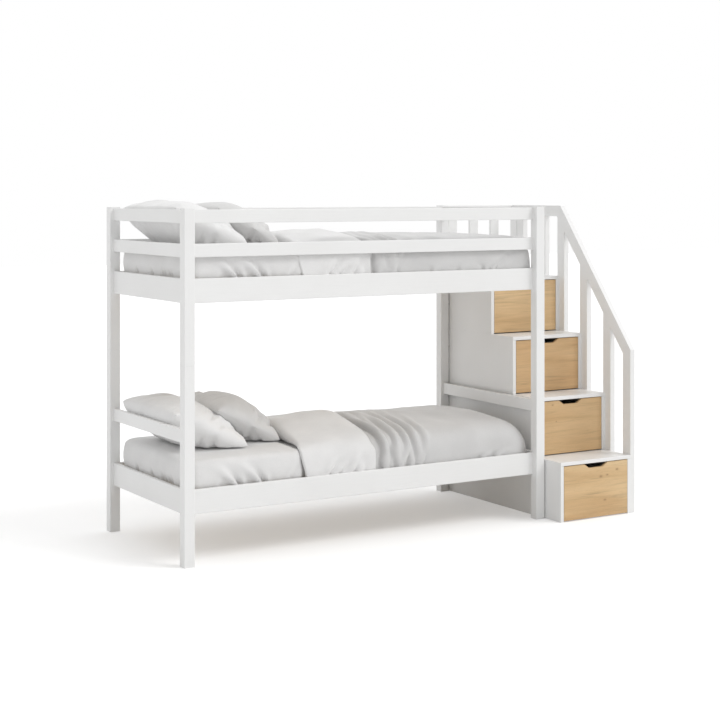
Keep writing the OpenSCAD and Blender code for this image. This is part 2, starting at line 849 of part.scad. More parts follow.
module stair_balusters() {
    color(WHITE) at_unit() {
        for (i = [0:2]) railing_piece([
            [stair_baluster_y[i], step_top(i) - lap],
            [stair_baluster_y[i] + baluster_w, step_top(i) - lap],
            [stair_baluster_y[i] + baluster_w, slope_under(stair_baluster_y[i] + baluster_w)],
            [stair_baluster_y[i], slope_under(stair_baluster_y[i])]
        ]);
        for (y = platform_baluster_y) railing_piece([
            [y, lap_z], [y + baluster_w, lap_z],
            [y + baluster_w, rail_under_z], [y, rail_under_z]
        ]);
    }
}

module handrail_sloped() {
    color(WHITE) at_unit() railing_piece([
        [-step_out, newel_h], [newel_back, newel_mitre_z],
        [mitre_y, rail_under_z], [level_start, post_h]
    ]);
}

module handrail_level() {
    color(WHITE) at_unit() railing_piece([
        [level_start, post_h], [mitre_y, rail_under_z],
        [bed_w, rail_under_z], [bed_w, post_h]
    ]);
}

module back_guard_rail() {
    color(WHITE) at_unit() difference() {
        translate([0, bed_w - back_guard_t, rail_under_z]) bar_x(unit_w, back_guard_t, handrail_h);
        railing_dowels(hole_play, hole_extra);
    }
}

module back_guard_balusters() {
    color(WHITE) at_unit() for (x = back_baluster_x) difference() {
        translate([x, bed_w - back_guard_t, lap_z])
            bar_z(back_baluster_w, back_guard_t, rail_under_z - lap_z);
        railing_dowels(hole_play, hole_extra);
        back_bolt_set(hole_play, 0);
    }
}

// ---- Drawers ----

// The frame of drawer i: X from the cell's inner face, Y from its front, Z from its floor
module at_cell(i) {
    at_unit() translate([panel_t, box_front(i), step_top(i) - rise]) children();
}

module drawer_front(i) {
    mid = cell_w / 2;
    top = front_lift + front_h;
    color(OAK) difference() {
        at_cell(i) extrude_y(front_t) polygon([
            [front_gap, front_lift], [front_gap + front_w, front_lift],
            [front_gap + front_w, top], [mid + notch_w / 2, top],
            [mid + notch_low_w / 2, top - notch_h], [mid - notch_low_w / 2, top - notch_h],
            [mid - notch_w / 2, top], [front_gap, top]
        ]);
        at_box(i) front_connectors(hole_play, hole_extra);
    }
}

// The frame of drawer box i: X from its side, Y from the back of its front
module at_box(i) { at_cell(i) translate([slide_space, front_t, tray_lift]) children(); }

// Connectors between the front and the sides: a bolt and a cam each
module front_connectors(play = 0, extra = 0) {
    for (side = [0, 1], k = fix_z)
        translate([side * tray_w, 0, k * tray_h]) mirror([side, 0, 0]) {
            translate([tray_t / 2, -fix_in_front - extra, 0])
                rod_y(fix_r + play, fix_in_front + extra + fix_cam_y - (play > 0 ? 0 : fix_cam_r + 0.5));
            translate([tray_t - fix_cam_h - play, fix_cam_y, 0])
                rod_x(fix_cam_r + play, fix_cam_h + play);
        }
}

// Screws through the sides into the back
module back_screws(play = 0, extra = 0) {
    for (side = [0, 1], k = fix_z)
        translate([side * tray_w, tray_l - tray_t / 2, k * tray_h]) mirror([side, 0, 0])
            screw_x(tray_t - screw_head_t + screw_in_back, play, extra);
}

module tray_groove() {
    translate([tray_t - groove, -1, groove_z - glue_gap])
        cube([tray_w - 2 * (tray_t - groove), tray_l - tray_t + groove + 1, tray_floor_t + 2 * glue_gap]);
}

// The sides, the back and the bottom of a drawer box
module drawer_tray(i) {
    bottom_in = groove - glue_gap;
    color(WHITE) at_box(i) {
        difference() {
            union() {
                for (x = [0, tray_w - tray_t]) translate([x, 0, 0]) cube([tray_t, tray_l, tray_h]);
                translate([tray_t + glue_gap, tray_l - tray_t, 0])
                    cube([tray_w - 2 * (tray_t + glue_gap), tray_t, tray_h]);
            }
            tray_groove();
            front_connectors(hole_play, hole_extra);
            back_screws(hole_play, 1);
        }
        translate([tray_t - bottom_in, 0, groove_z])
            cube([tray_w - 2 * (tray_t - bottom_in), tray_l - tray_t + bottom_in, tray_floor_t]);
    }
}

// The moving bars of the slides, and the fasteners of the drawer box
module drawer_fittings(i) {
    bar_h = slide_h - 2 * channel_wall - 2 * slide_play;
    color(STEEL) {
        at_cell(i) for (x = [slide_space - bar_w, cell_w - slide_space])
            translate([x, front_t + slide_setback, slide_z - bar_h / 2]) cube([bar_w, slide_l, bar_h]);
        at_box(i) {
            front_connectors();
            back_screws();
        }
    }
}

module drawer_1_front() { drawer_front(0); }
module drawer_1_tray() { drawer_tray(0); }
module drawer_1_fittings() { drawer_fittings(0); }
module drawer_2_front() { drawer_front(1); }
module drawer_2_tray() { drawer_tray(1); }
module drawer_2_fittings() { drawer_fittings(1); }
module drawer_3_front() { drawer_front(2); }
module drawer_3_tray() { drawer_tray(2); }
module drawer_3_fittings() { drawer_fittings(2); }
module drawer_4_front() { drawer_front(3); }
module drawer_4_tray() { drawer_tray(3); }
module drawer_4_fittings() { drawer_fittings(3); }

// ---- Bedding ----

module mattress(z) {
    color(LINEN) translate([mattress_x, mattress_y, mattress_z(z) + soft_gap])
        linear_extrude(mattress_h) soft_rect(mattress_l, mattress_w, mattress_r);
}

// Section of the part of the duvet that hugs the mattress's edges, in Y and Z from its top
function duvet_hug(drop, lift) = concat(
    [[0, -drop]],
    [for (p = duvet_edge) [p[0], p[1] + lift]],
    [for (i = [len(duvet_edge) - 1:-1:0]) [duvet_w - duvet_edge[i][0], duvet_edge[i][1] + lift]],
    [[duvet_w, -drop]]
);

// Section of the crown between the duvet's edges
function duvet_crown(loft) = let (
    edge = duvet_edge[len(duvet_edge) - 1],
    span = duvet_w - 2 * edge[0]
) concat(
    [[edge[0], 0]],
    [for (i = [0:duvet_crown_n]) let (t = 2 * i / duvet_crown_n - 1)
        [edge[0] + span * i / duvet_crown_n,
         edge[1] + (loft - edge[1]) * (1 - pow(abs(t), duvet_crown_power))]],
    [[edge[0] + span, 0]]
);

// A length of duvet from the head end, with its top falling towards the foot end
module duvet_length(l, drop, loft, foot_loft, lift) {
    extrude_x(l) polygon(duvet_hug(drop, lift));
    intersection() {
        rotate([0, atan((loft - foot_loft) / duvet_l), 0]) translate([-10, 0, 0])
            extrude_x(l + 30) polygon(duvet_crown(loft + lift));
        translate([0, 0, -drop]) cube([l, duvet_w, drop + 2 * loft]);
    }
}

// The duvet lies on the mattress and hangs down beside it on three sides, with its head end folded back
module duvet(z, loft, foot_loft) {
    top = mattress_z(z) + soft_gap + mattress_h;
    drop = soft_gap + mattress_h - duvet_hem;
    tall = loft + 2 * duvet_band_t;
    head_z = loft + duvet_band_t - duvet_head_bevel;
    color(LINEN) translate([duvet_x, mattress_y - soft_gap - duvet_side_t, top]) difference() {
        union() {
            duvet_length(duvet_l, drop, loft, foot_loft, 0);
            duvet_length(duvet_band, drop, loft, foot_loft, duvet_band_t);
        }
        translate([-1, duvet_side_t, -drop - 1]) cube([
            duvet_l - duvet_side_t + 1,
            mattress_w + 2 * soft_gap,
            drop + 1 + soft_gap
        ]);
        translate([0, -1, 0]) extrude_y(duvet_w + 2) polygon([
            [-1, head_z], [0, head_z], [tall - head_z, tall], [-1, tall]
        ]);
        translate([0, -1, 0]) extrude_y(duvet_w + 2) polygon([
            [duvet_l, duvet_foot_rise], [duvet_l + 1, duvet_foot_rise], [duvet_l + 1, tall],
            [duvet_l - duvet_foot_slope * (tall - duvet_foot_rise), tall]
        ]);
    }
}

// Outlines of the pillow that leans on the head rail and of the one that leans on it,
// in X and Z from the head rail and the mattress
head_pillow = [[150, 0], [400, 0], [330, 110], [180, 226], [60, 236], [22, 200], [40, 110]];
next_pillow = [[430, 0], [620, 0], [560, 110], [420, 206], [290, 216], [255, 185], [345, 108]];
// Distances of the pillows' far ends from the back rail
head_pillow_in = 64;
next_pillow_in = 20;
pillow_l = clear_w - pillow_short;

module pillows(z) {
    x0 = head_x + end_inset + rail_t;
    top = mattress_z(z) + 2 * soft_gap + mattress_h;
    color(LINEN) translate([x0, front_y + post, top]) {
        translate([0, pillow_short - head_pillow_in, 0]) extrude_y(pillow_l) polygon(head_pillow);
        translate([0, pillow_short - next_pillow_in, 0]) extrude_y(pillow_l) polygon(next_pillow);
    }
}

module mattress_lower() { mattress(lower_rail_z); }
module mattress_upper() { mattress(upper_rail_z); }
module duvet_lower() { duvet(lower_rail_z, duvet_h, duvet_foot_h); }
module duvet_upper() { duvet(upper_rail_z, duvet_upper_h, duvet_upper_foot_h); }
module pillows_lower() { pillows(lower_rail_z); }
module pillows_upper() { pillows(upper_rail_z); }

post_head_front_lower();
post_head_front_upper();
post_head_back_lower();
post_head_back_upper();
post_foot_front_lower();
post_foot_front_upper();
post_foot_back_lower();
post_foot_back_upper();
post_joint_pins();
front_bed_rail_lower();
front_bed_rail_upper();
front_guard_rail_mid();
front_guard_rail_top();
back_bed_rails();
back_guard_rails();
end_bed_rails();
head_guard_rails();
foot_guard_rails();
slat_cleats();
bed_slats();
slat_tapes();
wood_dowels();
rail_connectors();
cleat_screws();
stair_panel_inner_lower();
stair_panel_outer_lower();
stair_panel_inner_upper();
stair_panel_outer_upper();
tread_board_first();
tread_board_second();
deck_board();
platform_board();
stair_back_panels();
floor_stretchers();
slide_channels();
unit_bolts();
newel_post();
stair_balusters();
handrail_sloped();
handrail_level();
back_guard_rail();
back_guard_balusters();
drawer_1_front();
drawer_1_tray();
drawer_1_fittings();
drawer_2_front();
drawer_2_tray();
drawer_2_fittings();
drawer_3_front();
drawer_3_tray();
drawer_3_fittings();
drawer_4_front();
drawer_4_tray();
drawer_4_fittings();
mattress_lower();
mattress_upper();
duvet_lower();
duvet_upper();
pillows_lower();
pillows_upper();
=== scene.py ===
"""Looks of a bunk bed with storage stairs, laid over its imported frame.

Every length is in metres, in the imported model's own frame: X runs from the head
end to the stairs, Y from the front to the back and Z up from the floor. The rigid
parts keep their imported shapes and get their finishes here; the bedding is modelled.
"""

import logging
import math
from dataclasses import dataclass, replace
from enum import Enum
from typing import Sequence

import bpy
import numpy as np
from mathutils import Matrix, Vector, noise
from mathutils.bvhtree import BVHTree


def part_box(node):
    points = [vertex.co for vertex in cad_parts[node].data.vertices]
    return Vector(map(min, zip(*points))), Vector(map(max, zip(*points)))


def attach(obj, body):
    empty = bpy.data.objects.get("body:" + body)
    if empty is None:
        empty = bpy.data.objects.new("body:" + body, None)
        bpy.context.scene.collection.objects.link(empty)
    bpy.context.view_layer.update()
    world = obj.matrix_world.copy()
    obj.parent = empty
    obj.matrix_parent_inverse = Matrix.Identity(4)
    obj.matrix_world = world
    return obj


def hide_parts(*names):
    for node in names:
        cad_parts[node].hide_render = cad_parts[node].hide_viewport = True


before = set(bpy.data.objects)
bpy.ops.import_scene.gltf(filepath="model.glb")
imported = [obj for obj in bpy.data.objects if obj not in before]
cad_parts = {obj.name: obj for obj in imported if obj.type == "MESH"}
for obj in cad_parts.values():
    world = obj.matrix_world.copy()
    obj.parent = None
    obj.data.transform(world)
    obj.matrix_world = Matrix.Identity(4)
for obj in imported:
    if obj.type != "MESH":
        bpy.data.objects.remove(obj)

LOG = logging.getLogger("bunk_bed")
ROOT_BODY = "frame"
TINY = 1e-9
# From the beds' middle line, where the side creases of sheets and duvets start
FLANK_Y = 0.40
# How far above the mattress what lies on it is kept
REST_GAP = 0.004

Colour = tuple[float, float, float]
WHITE: Colour = (1.0, 1.0, 1.0)


class Grain(Enum):
    """The direction in which the fibres of a wooden piece run."""

    ALONG = (1.0, 0.0, 0.0)
    ACROSS = (0.0, 1.0, 0.0)
    UPRIGHT = (0.0, 0.0, 1.0)


class Level(Enum):
    """The two beds, by the ending of their pieces' names."""

    LOWER = "lower"
    UPPER = "upper"


# ---- Finishes ----


class Graph:
    """The node tree of a material or world, built node by node."""

    def __init__(self, owner: bpy.types.ID, output: str) -> None:
        """Empties the tree but for its output.

        Args:
            owner: The material or world.
            output: The kind of its output node.
        """
        owner.use_nodes = True
        self.tree = owner.node_tree
        self.tree.nodes.clear()
        self.output = self.add(output)

    def add(self, kind: str, *values: object, **settings: object) -> bpy.types.Node:
        """Adds a node, sets its properties and feeds its first sockets.

        Args:
            kind: The node's type, without "ShaderNode" before it.
            *values: Outputs or constants for its first sockets.
            **settings: Properties of the node.

        Returns:
            The new node.
        """
        node = self.tree.nodes.new(f"ShaderNode{kind}")
        for name, value in settings.items():
            setattr(node, name, value)
        for socket, value in zip(node.inputs, values):
            self.feed(socket, value)
        return node

    def feed(self, socket: bpy.types.NodeSocket, value: object) -> None:
        """Links an output to a socket, or sets the socket's own value.

        Args:
            socket: The socket.
            value: A node's output, a colour or a number.
        """
        if isinstance(value, bpy.types.NodeSocket):
            self.tree.links.new(value, socket)
        elif isinstance(value, tuple) and len(value) == 3 and len(socket.default_value) == 4:
            socket.default_value = (*value, 1.0)
        else:
            socket.default_value = value

    def seen(self) -> bpy.types.NodeSocket:
        """Gives 1 to rays that come from the camera or a mirror, and 0 to all others.

        Returns:
            The factor.
        """
        path = self.add("LightPath").outputs
        ends = path["Is Camera Ray"], path["Is Glossy Ray"]
        return self.add("Math", *ends, operation="MAXIMUM").outputs[0]


class Shader(Graph):
    """One procedural material round a Principled shader."""

    def __init__(self, name: str) -> None:
        """Starts a material.

        Args:
            name: The material's name.
        """
        self.material = bpy.data.materials.new(name)
        super().__init__(self.material, "OutputMaterial")
        self.surface = self.add("BsdfPrincipled")
        self.feed(self.output.inputs[0], self.surface.outputs[0])
        self.place = self.add("TexCoord").outputs["Object"]

    def stretched(self, scale: Colour, shift: Colour) -> bpy.types.NodeSocket:
        """The object's own coordinates, scaled on each axis and shifted."""
        return self.add("Mapping", self.place, shift, (0.0, 0.0, 0.0), scale).outputs[0]

    def cloud(self, scale: float | Colour, detail: float = 2.0, rough: float = 0.5,
              bend: float = 0.0, shift: Colour = (0.0, 0.0, 0.0)) -> bpy.types.NodeSocket:
        """A soft noise from 0 to 1.

        Args:
            scale: Its cells for each metre, the same along all axes or one for each.
            detail: Its octaves.
            rough: The share of its small octaves.
            bend: How far it distorts itself.
            shift: How far it is moved, where its axes differ.

        Returns:
            The noise's factor.
        """
        even = isinstance(scale, float)
        node = self.add("TexNoise", self.place if even else self.stretched(scale, shift))
        for name, value in (("Scale", scale if even else 1.0), ("Detail", detail),
                            ("Roughness", rough), ("Distortion", bend)):
            node.inputs[name].default_value = value
        return node.outputs["Fac"]

    def ramp(self, factor: object, *stops: tuple[float, object]) -> bpy.types.NodeSocket:
        """Maps a factor to colours or greys at the given places.

        Args:
            factor: The factor.
            *stops: Places from 0 to 1, each with its colour or grey.

        Returns:
            The ramp's colour.
        """
        node = self.add("ValToRGB", factor)
        band = node.color_ramp.elements
        while len(band) < len(stops):
            band.new(0.5)
        for element, (place, colour) in zip(band, stops):
            element.position = place
            element.color = (*colour, 1) if isinstance(colour, tuple) else (colour,) * 3 + (1,)
        return node.outputs[0]

    def blend(self, factor: object, first: object, second: object,
              way: str = "MIX") -> bpy.types.NodeSocket:
        """Mixes two colours.

        Args:
            factor: How much of the second colour shows.
            first: The first colour.
            second: The second colour.
            way: The blend type.

        Returns:
            The mixed colour.
        """
        node = self.add("Mix", factor, data_type="RGBA", blend_type=way)
        self.feed(node.inputs[6], first)
        self.feed(node.inputs[7], second)
        return node.outputs[2]

    def tones(self, cloud: object, low: float, high: float, first: Colour,
              second: Colour) -> bpy.types.NodeSocket:
        """Goes from one tone to another where a cloud rises from low to high."""
        return self.blend(self.ramp(cloud, (low, 0.0), (high, 1.0)), first, second)

    def shaded(self, colour: object, factor: object,
               *stops: tuple[float, float]) -> bpy.types.NodeSocket:
        """Multiplies a colour by a factor's ramp."""
        return self.blend(1.0, colour, self.ramp(factor, *stops), "MULTIPLY")

    def sum(self, *parts: tuple[object, float]) -> bpy.types.NodeSocket:
        """Adds several factors, each times its own weight.

        Args:
            *parts: Each factor with its weight.

        Returns:
            The sum.
        """
        total: object = 0.0
        for factor, weight in parts:
            total = self.add("Math", factor, weight, total, operation="MULTIPLY_ADD").outputs[0]
        return total

    def relief(self, height: object, depth: float) -> None:
        """Gives the surface a bump of the given depth in metres.

        Args:
            height: The factor that gives the height.
            depth: The height of its full value.
        """
        node = self.add("Bump")
        self.feed(node.inputs["Height"], height)
        node.inputs["Distance"].default_value = depth
        node.inputs["Strength"].default_value = 1.0
        self.set(Normal=node.outputs[0])

    def set(self, **values: object) -> None:
        """Sets sockets of the Principled shader, with _ for a space in a name."""
        for name, value in values.items():
            self.feed(self.surface.inputs[name.replace("_", " ")], value)


def along(grain: Grain, slow: float, fast: float) -> Colour:
    """Scales for a texture that is stretched along the grain."""
    return tuple(slow if part else fast for part in grain.value)


@dataclass(frozen=True)
class Finish:
    """What a material looks like."""

    name: str

    def build(self) -> bpy.types.Material:
        """Builds the material.

        Returns:
            The new material.
        """
        shader = Shader(self.name)
        self.paint(shader)
        return shader.material

    def paint(self, shader: Shader) -> None:
        """Adds the finish's own nodes."""
        raise NotImplementedError


@dataclass(frozen=True)
class Lacquer(Finish):
    """White satin lacquer over planed wood, with the grain faintly telling."""

    grain: Grain
    tone: Colour = (0.862, 0.862, 0.856)
    shade: Colour = (0.838, 0.836, 0.828)
    gloss: float = 0.4

    def paint(self, shader: Shader) -> None:
        """Adds clouds, fibres and the lacquer's own fine peel.

        Args:
            shader: The material's shader.
        """
        cloud = shader.cloud(2.6, 3.0)
        fibre = shader.cloud(along(self.grain, 5.0, 170.0), 3.0, 0.6)
        peel = shader.cloud(420.0, 1.0)
        body = shader.tones(cloud, 0.35, 0.7, self.tone, self.shade)
        shader.set(
            Base_Color=shader.shaded(body, fibre, (0.30, 0.985), (0.52, 1.0)),
            Roughness=shader.sum((cloud, 0.14), (fibre, 0.08), (1.0, self.gloss - 0.1)),
            Coat_Weight=0.12,
            Coat_Roughness=0.25,
        )
        shader.relief(shader.sum((fibre, 0.8), (peel, 0.2)), 0.00005)


@dataclass(frozen=True)
class Knot:
    """A small knot in a drawer front."""

    x: float
    z: float
    size: float
    stretch: float = 1.7

    def paint(self, shader: Shader, colour: object, dark: Colour) -> bpy.types.NodeSocket:
        """Darkens a colour round the knot.

        Args:
            shader: The board's shader.
            colour: The board's colour.
            dark: The knot's colour.

        Returns:
            The board's colour with the knot.
        """
        wide, high = 1 / (self.size * self.stretch), 1 / self.size
        at = shader.stretched((wide, 0.0, high), (-self.x * wide, 0.0, -self.z * high))
        reach = shader.add("VectorMath", at, operation="LENGTH").outputs["Value"]
        heart = shader.ramp(reach, (0.25, 0.85), (0.55, 0.3), (1.0, 0.0))
        return shader.blend(heart, colour, dark)


@dataclass(frozen=True)
class Oak(Finish):
    """Clear-lacquered oak with level grain, fine pores and a few knots."""

    shift: float
    knots: tuple[Knot, ...]
    tint: Colour
    pale: Colour = (0.69, 0.485, 0.262)
    body: Colour = (0.645, 0.435, 0.222)
    dark: Colour = (0.565, 0.362, 0.175)
    pore: Colour = (0.36, 0.215, 0.10)
    pore_share: float = 0.35

    def tinted(self, colour: Colour) -> Colour:
        """A colour of the oak, scaled channel by channel by this front's tint."""
        return tuple(part * share for part, share in zip(colour, self.tint))

    def paint(self, shader: Shader) -> None:
        """Adds broad figure, dark streaks, growth lines, fibres and pores, drawn out along X.

        Args:
            shader: The material's shader.
        """
        drift = (self.shift, 0.0, self.shift * 1.7)
        figure, streak, line, fibre, pores = (
            shader.cloud(*scales, shift=drift) for scales in (
                ((1.4, 1.4, 9.0), 3.0, 0.5, 0.5),
                ((2.0, 2.0, 30.0), 3.0, 0.55, 0.9),
                ((4.0, 4.0, 120.0), 3.0, 0.6, 0.6),
                ((9.0, 30.0, 330.0), 3.0, 0.6),
                ((42.0, 60.0, 900.0), 1.0),
            )
        )
        dark, body, pale = (self.tinted(part) for part in (self.dark, self.body, self.pale))
        colour = shader.ramp(figure, (0.32, dark), (0.46, body), (0.66, pale))
        for factor, *stops in (
            (streak, (0.27, 0.70), (0.36, 0.93), (0.45, 1.0), (0.75, 1.03)),
            (line, (0.30, 0.84), (0.42, 0.98), (0.6, 1.0)),
            (fibre, (0.28, 0.91), (0.52, 1.0), (0.8, 1.04)),
        ):
            colour = shader.shaded(colour, factor, *stops)
        pits = shader.ramp(pores, (0.27, 1.0), (0.34, 0.0))
        colour = shader.blend(shader.sum((pits, self.pore_share)), colour, self.pore)
        for knot in self.knots:
            colour = knot.paint(shader, colour, self.pore)
        shader.set(
            Base_Color=colour,
            Roughness=shader.sum((fibre, 0.16), (figure, 0.08), (1.0, 0.4)),
            Coat_Weight=0.08,
            Coat_Roughness=0.3,
        )
        shader.relief(shader.sum((fibre, 0.5), (line, 0.2), (pits, -0.5)), 0.00018)


@dataclass(frozen=True)
class Softwood(Finish):
    """Planed wood without a finish, with its growth rings along the grain."""

    grain: Grain
    pale: Colour = (0.74, 0.585, 0.39)
    ring: Colour = (0.60, 0.42, 0.235)

    def paint(self, shader: Shader) -> None:
        """Adds growth rings and fibres.

        Args:
            shader: The material's shader.
        """
        rings = shader.cloud(along(self.grain, 1.4, 34.0), 3.0, 0.5, 0.7)
        fibre = shader.cloud(along(self.grain, 9.0, 420.0), 2.0)
        colour = shader.ramp(rings, (0.36, self.ring), (0.47, self.pale), (0.7, self.pale))
        shader.set(
            Base_Color=shader.shaded(colour, fibre, (0.3, 0.88), (0.6, 1.03)),
            Roughness=shader.sum((fibre, 0.2), (1.0, 0.52)),
        )
        shader.relief(fibre, 0.00015)


@dataclass(frozen=True)
class Board(Finish):
    """A white melamine or enamel face, with its fine pearl texture."""

    tone: Colour = (0.80, 0.795, 0.78)
    shade: Colour = (0.765, 0.76, 0.742)

    def paint(self, shader: Shader) -> None:
        """Adds the pearl texture and faint clouds.

        Args:
            shader: The material's shader.
        """
        speck = shader.cloud(950.0, 1.0)
        cloud = shader.cloud(5.0, 2.0)
        shader.set(
            Base_Color=shader.tones(cloud, 0.3, 0.75, self.tone, self.shade),
            Roughness=shader.sum((speck, 0.12), (1.0, 0.42)),
        )
        shader.relief(speck, 0.00006)


@dataclass(frozen=True)
class Zinc(Finish):
    """Zinc-plated steel, cloudy and finely scratched."""

    tone: Colour = (0.60, 0.605, 0.61)
    dull: Colour = (0.47, 0.475, 0.475)

    def paint(self, shader: Shader) -> None:
        """Adds clouds and long scratches.

        Args:
            shader: The material's shader.
        """
        cloud = shader.cloud(60.0, 4.0, 0.6)
        scratch = shader.cloud((900.0, 20.0, 900.0), 2.0)
        shader.set(
            Base_Color=shader.tones(cloud, 0.35, 0.65, self.tone, self.dull),
            Roughness=shader.sum((cloud, 0.2), (scratch, 0.1), (1.0, 0.22)),
            Metallic=1.0,
        )
        shader.relief(scratch, 0.00003)


@dataclass(frozen=True)
class Cloth(Finish):
    """Plain woven cotton, with slubs, small creases and a soft sheen."""

    tone: Colour
    crease: float
    thread: float = 1500.0
    slub: float = 0.08
    deep: float = 0.93

    def paint(self, shader: Shader) -> None:
        """Adds warp and weft, clouds and crinkles.

        Args:
            shader: The material's shader.
        """
        fine, long = self.thread, self.thread * self.slub
        warp = shader.cloud((fine, long, fine), 1.0)
        weft = shader.cloud((long, fine, fine), 1.0)
        cloud = shader.cloud(7.0, 3.0)
        crinkle = shader.cloud(26.0, 4.0, 0.55, 0.8)
        shade = tuple(part * self.deep for part in self.tone)
        body = shader.tones(cloud, 0.3, 0.7, self.tone, shade)
        weave = shader.sum((warp, 0.5), (weft, 0.5))
        shader.set(
            Base_Color=shader.shaded(body, weave, (0.36, 0.93), (0.56, 1.0)),
            Roughness=shader.sum((crinkle, 0.1), (1.0, 0.8)),
            Sheen_Weight=0.5,
            Sheen_Roughness=0.45,
        )
        shader.relief(shader.sum((crinkle, 0.86), (warp, 0.07), (weft, 0.07)), self.crease)


@dataclass(frozen=True)
class Ground(Finish):
    """A pale floor that keeps the bed's shadow and meets the white backdrop."""

    tone: Colour = (0.86, 0.86, 0.86)
    mottled: float = 0.995
    lift: float = 0.29

    def paint(self, shader: Shader) -> None:
        """Adds faint mottling, and a glow that lifts the floor to white where it is seen.

        Args:
            shader: The material's shader.
        """
        shade = tuple(part * self.mottled for part in self.tone)
        shader.set(
            Base_Color=shader.blend(shader.cloud(3.0, 2.0), self.tone, shade),
            Roughness=0.9,
            Specular_IOR_Level=0.0,
        )
        glow = shader.add("Emission", WHITE, shader.sum((shader.seen(), self.lift)))
        both = shader.add("AddShader", shader.surface.outputs[0], glow.outputs[0])
        shader.feed(shader.output.inputs[0], both.outputs[0])


# ---- Mesh helpers ----


def grid_faces(rows: int, columns: int) -> list[tuple[int, int, int, int]]:
    """Quads of a grid whose points are numbered row by row.

    Args:
        rows: The rows of points.
        columns: The points in a row.

    Returns:
        The quads, by point numbers.
    """
    return [
        (a, a + 1, a + columns + 1, a + columns)
        for r in range(rows - 1)
        for a in range(r * columns, (r + 1) * columns - 1)
    ]


def make_object(name: str, points: np.ndarray, faces: Sequence[Sequence[int]],
                material: bpy.types.Material) -> bpy.types.Object:
    """Makes a smooth-shaded mesh object in the scene.

    Args:
        name: The object's name.
        points: Its corners, one row each.
        faces: Its faces, by corner numbers.
        material: Its material.

    Returns:
        The new object.
    """
    mesh = bpy.data.meshes.new(name)
    mesh.from_pydata(points.tolist(), [], [tuple(map(int, face)) for face in faces])
    mesh.update()
    mesh.polygons.foreach_set("use_smooth", [True] * len(mesh.polygons))
    mesh.materials.append(material)
    piece = bpy.data.objects.new(name, mesh)
    bpy.context.scene.collection.objects.link(piece)
    return piece


def points_of(mesh: bpy.types.Mesh) -> np.ndarray:
    """A mesh's corners, one row each.

    Args:
        mesh: The mesh.

    Returns:
        The corners.
    """
    flat = np.empty(len(mesh.vertices) * 3)
    mesh.vertices.foreach_get("co", flat)
    return flat.reshape(-1, 3)


def set_points(mesh: bpy.types.Mesh, points: np.ndarray) -> None:
    """Moves a mesh's corners."""
    mesh.vertices.foreach_set("co", points.ravel())
    mesh.update()


def relax(piece: bpy.types.Object, times: int) -> None:
    """Draws every corner's height towards its neighbours', to soften sharp folds.

    Args:
        piece: The piece.
        times: How often each height is drawn.
    """
    ends = np.empty(len(piece.data.edges) * 2, dtype=int)
    piece.data.edges.foreach_get("vertices", ends)
    ends = ends.reshape(-1, 2)
    ends = np.concatenate([ends, ends[:, ::-1]])
    points = points_of(piece.data)
    count = np.bincount(ends[:, 0], minlength=len(points))
    for _ in range(times):
        around = np.bincount(ends[:, 0], points[ends[:, 1], 2], len(points)) / count
        points[:, 2] = (points[:, 2] + around) / 2
    set_points(piece.data, points)


def smooth_step(value: np.ndarray, low: float, high: float) -> np.ndarray:
    """Rises smoothly from 0 at low to 1 at high."""
    t = np.clip((value - low) / (high - low), 0.0, 1.0)
    return t * t * (3 - 2 * t)


def mottle(points: np.ndarray, *waves: tuple[float, float, float]) -> np.ndarray:
    """Smooth noise at each point, as a sum of waves: cell, seed and height of each.

    Args:
        points: Where the noise is wanted.
        *waves: The cell, seed and height of each wave.

    Returns:
        The noise at each point.
    """
    total = np.zeros(len(points))
    for cell, seed, height in waves:
        shift = Vector((seed, seed * 0.37, -seed * 0.61))
        wave = [noise.noise(Vector(p) / cell + shift) for p in points.tolist()]
        total += np.array(wave) * height
    return total


def ease_grid(points: np.ndarray, rows: int, columns: int, times: int) -> np.ndarray:
    """Softens a grid's bends, with its outer rows and columns kept.

    Args:
        points: The grid's points, row by row.
        rows: How many rows.
        columns: How many points in a row.
        times: How often it is softened.

    Returns:
        The softened points.
    """
    net = points.reshape(rows, columns, 3).copy()
    for _ in range(times):
        around = net[:-2, 1:-1] + net[2:, 1:-1] + net[1:-1, :-2] + net[1:-1, 2:]
        net[1:-1, 1:-1] = net[1:-1, 1:-1] * 0.5 + around * 0.125
    return net.reshape(-1, 3)


def hump(away: np.ndarray, valley: float, at: float) -> np.ndarray:
    """The profile of a ridge at 0, with a valley of a share of its height beside it."""
    return np.exp(-(away**2)) - valley * np.exp(-((away - at) ** 2))


def table(kind: type, *rows: tuple[float, ...]) -> tuple:
    """Makes one item of a kind from each row of numbers."""
    return tuple(kind(*row) for row in rows)


def subdivide(piece: bpy.types.Object) -> None:
    """Smooths a piece with one level of subdivision."""
    smooth = piece.modifiers.new("smooth", "SUBSURF")
    smooth.levels = smooth.render_levels = 1


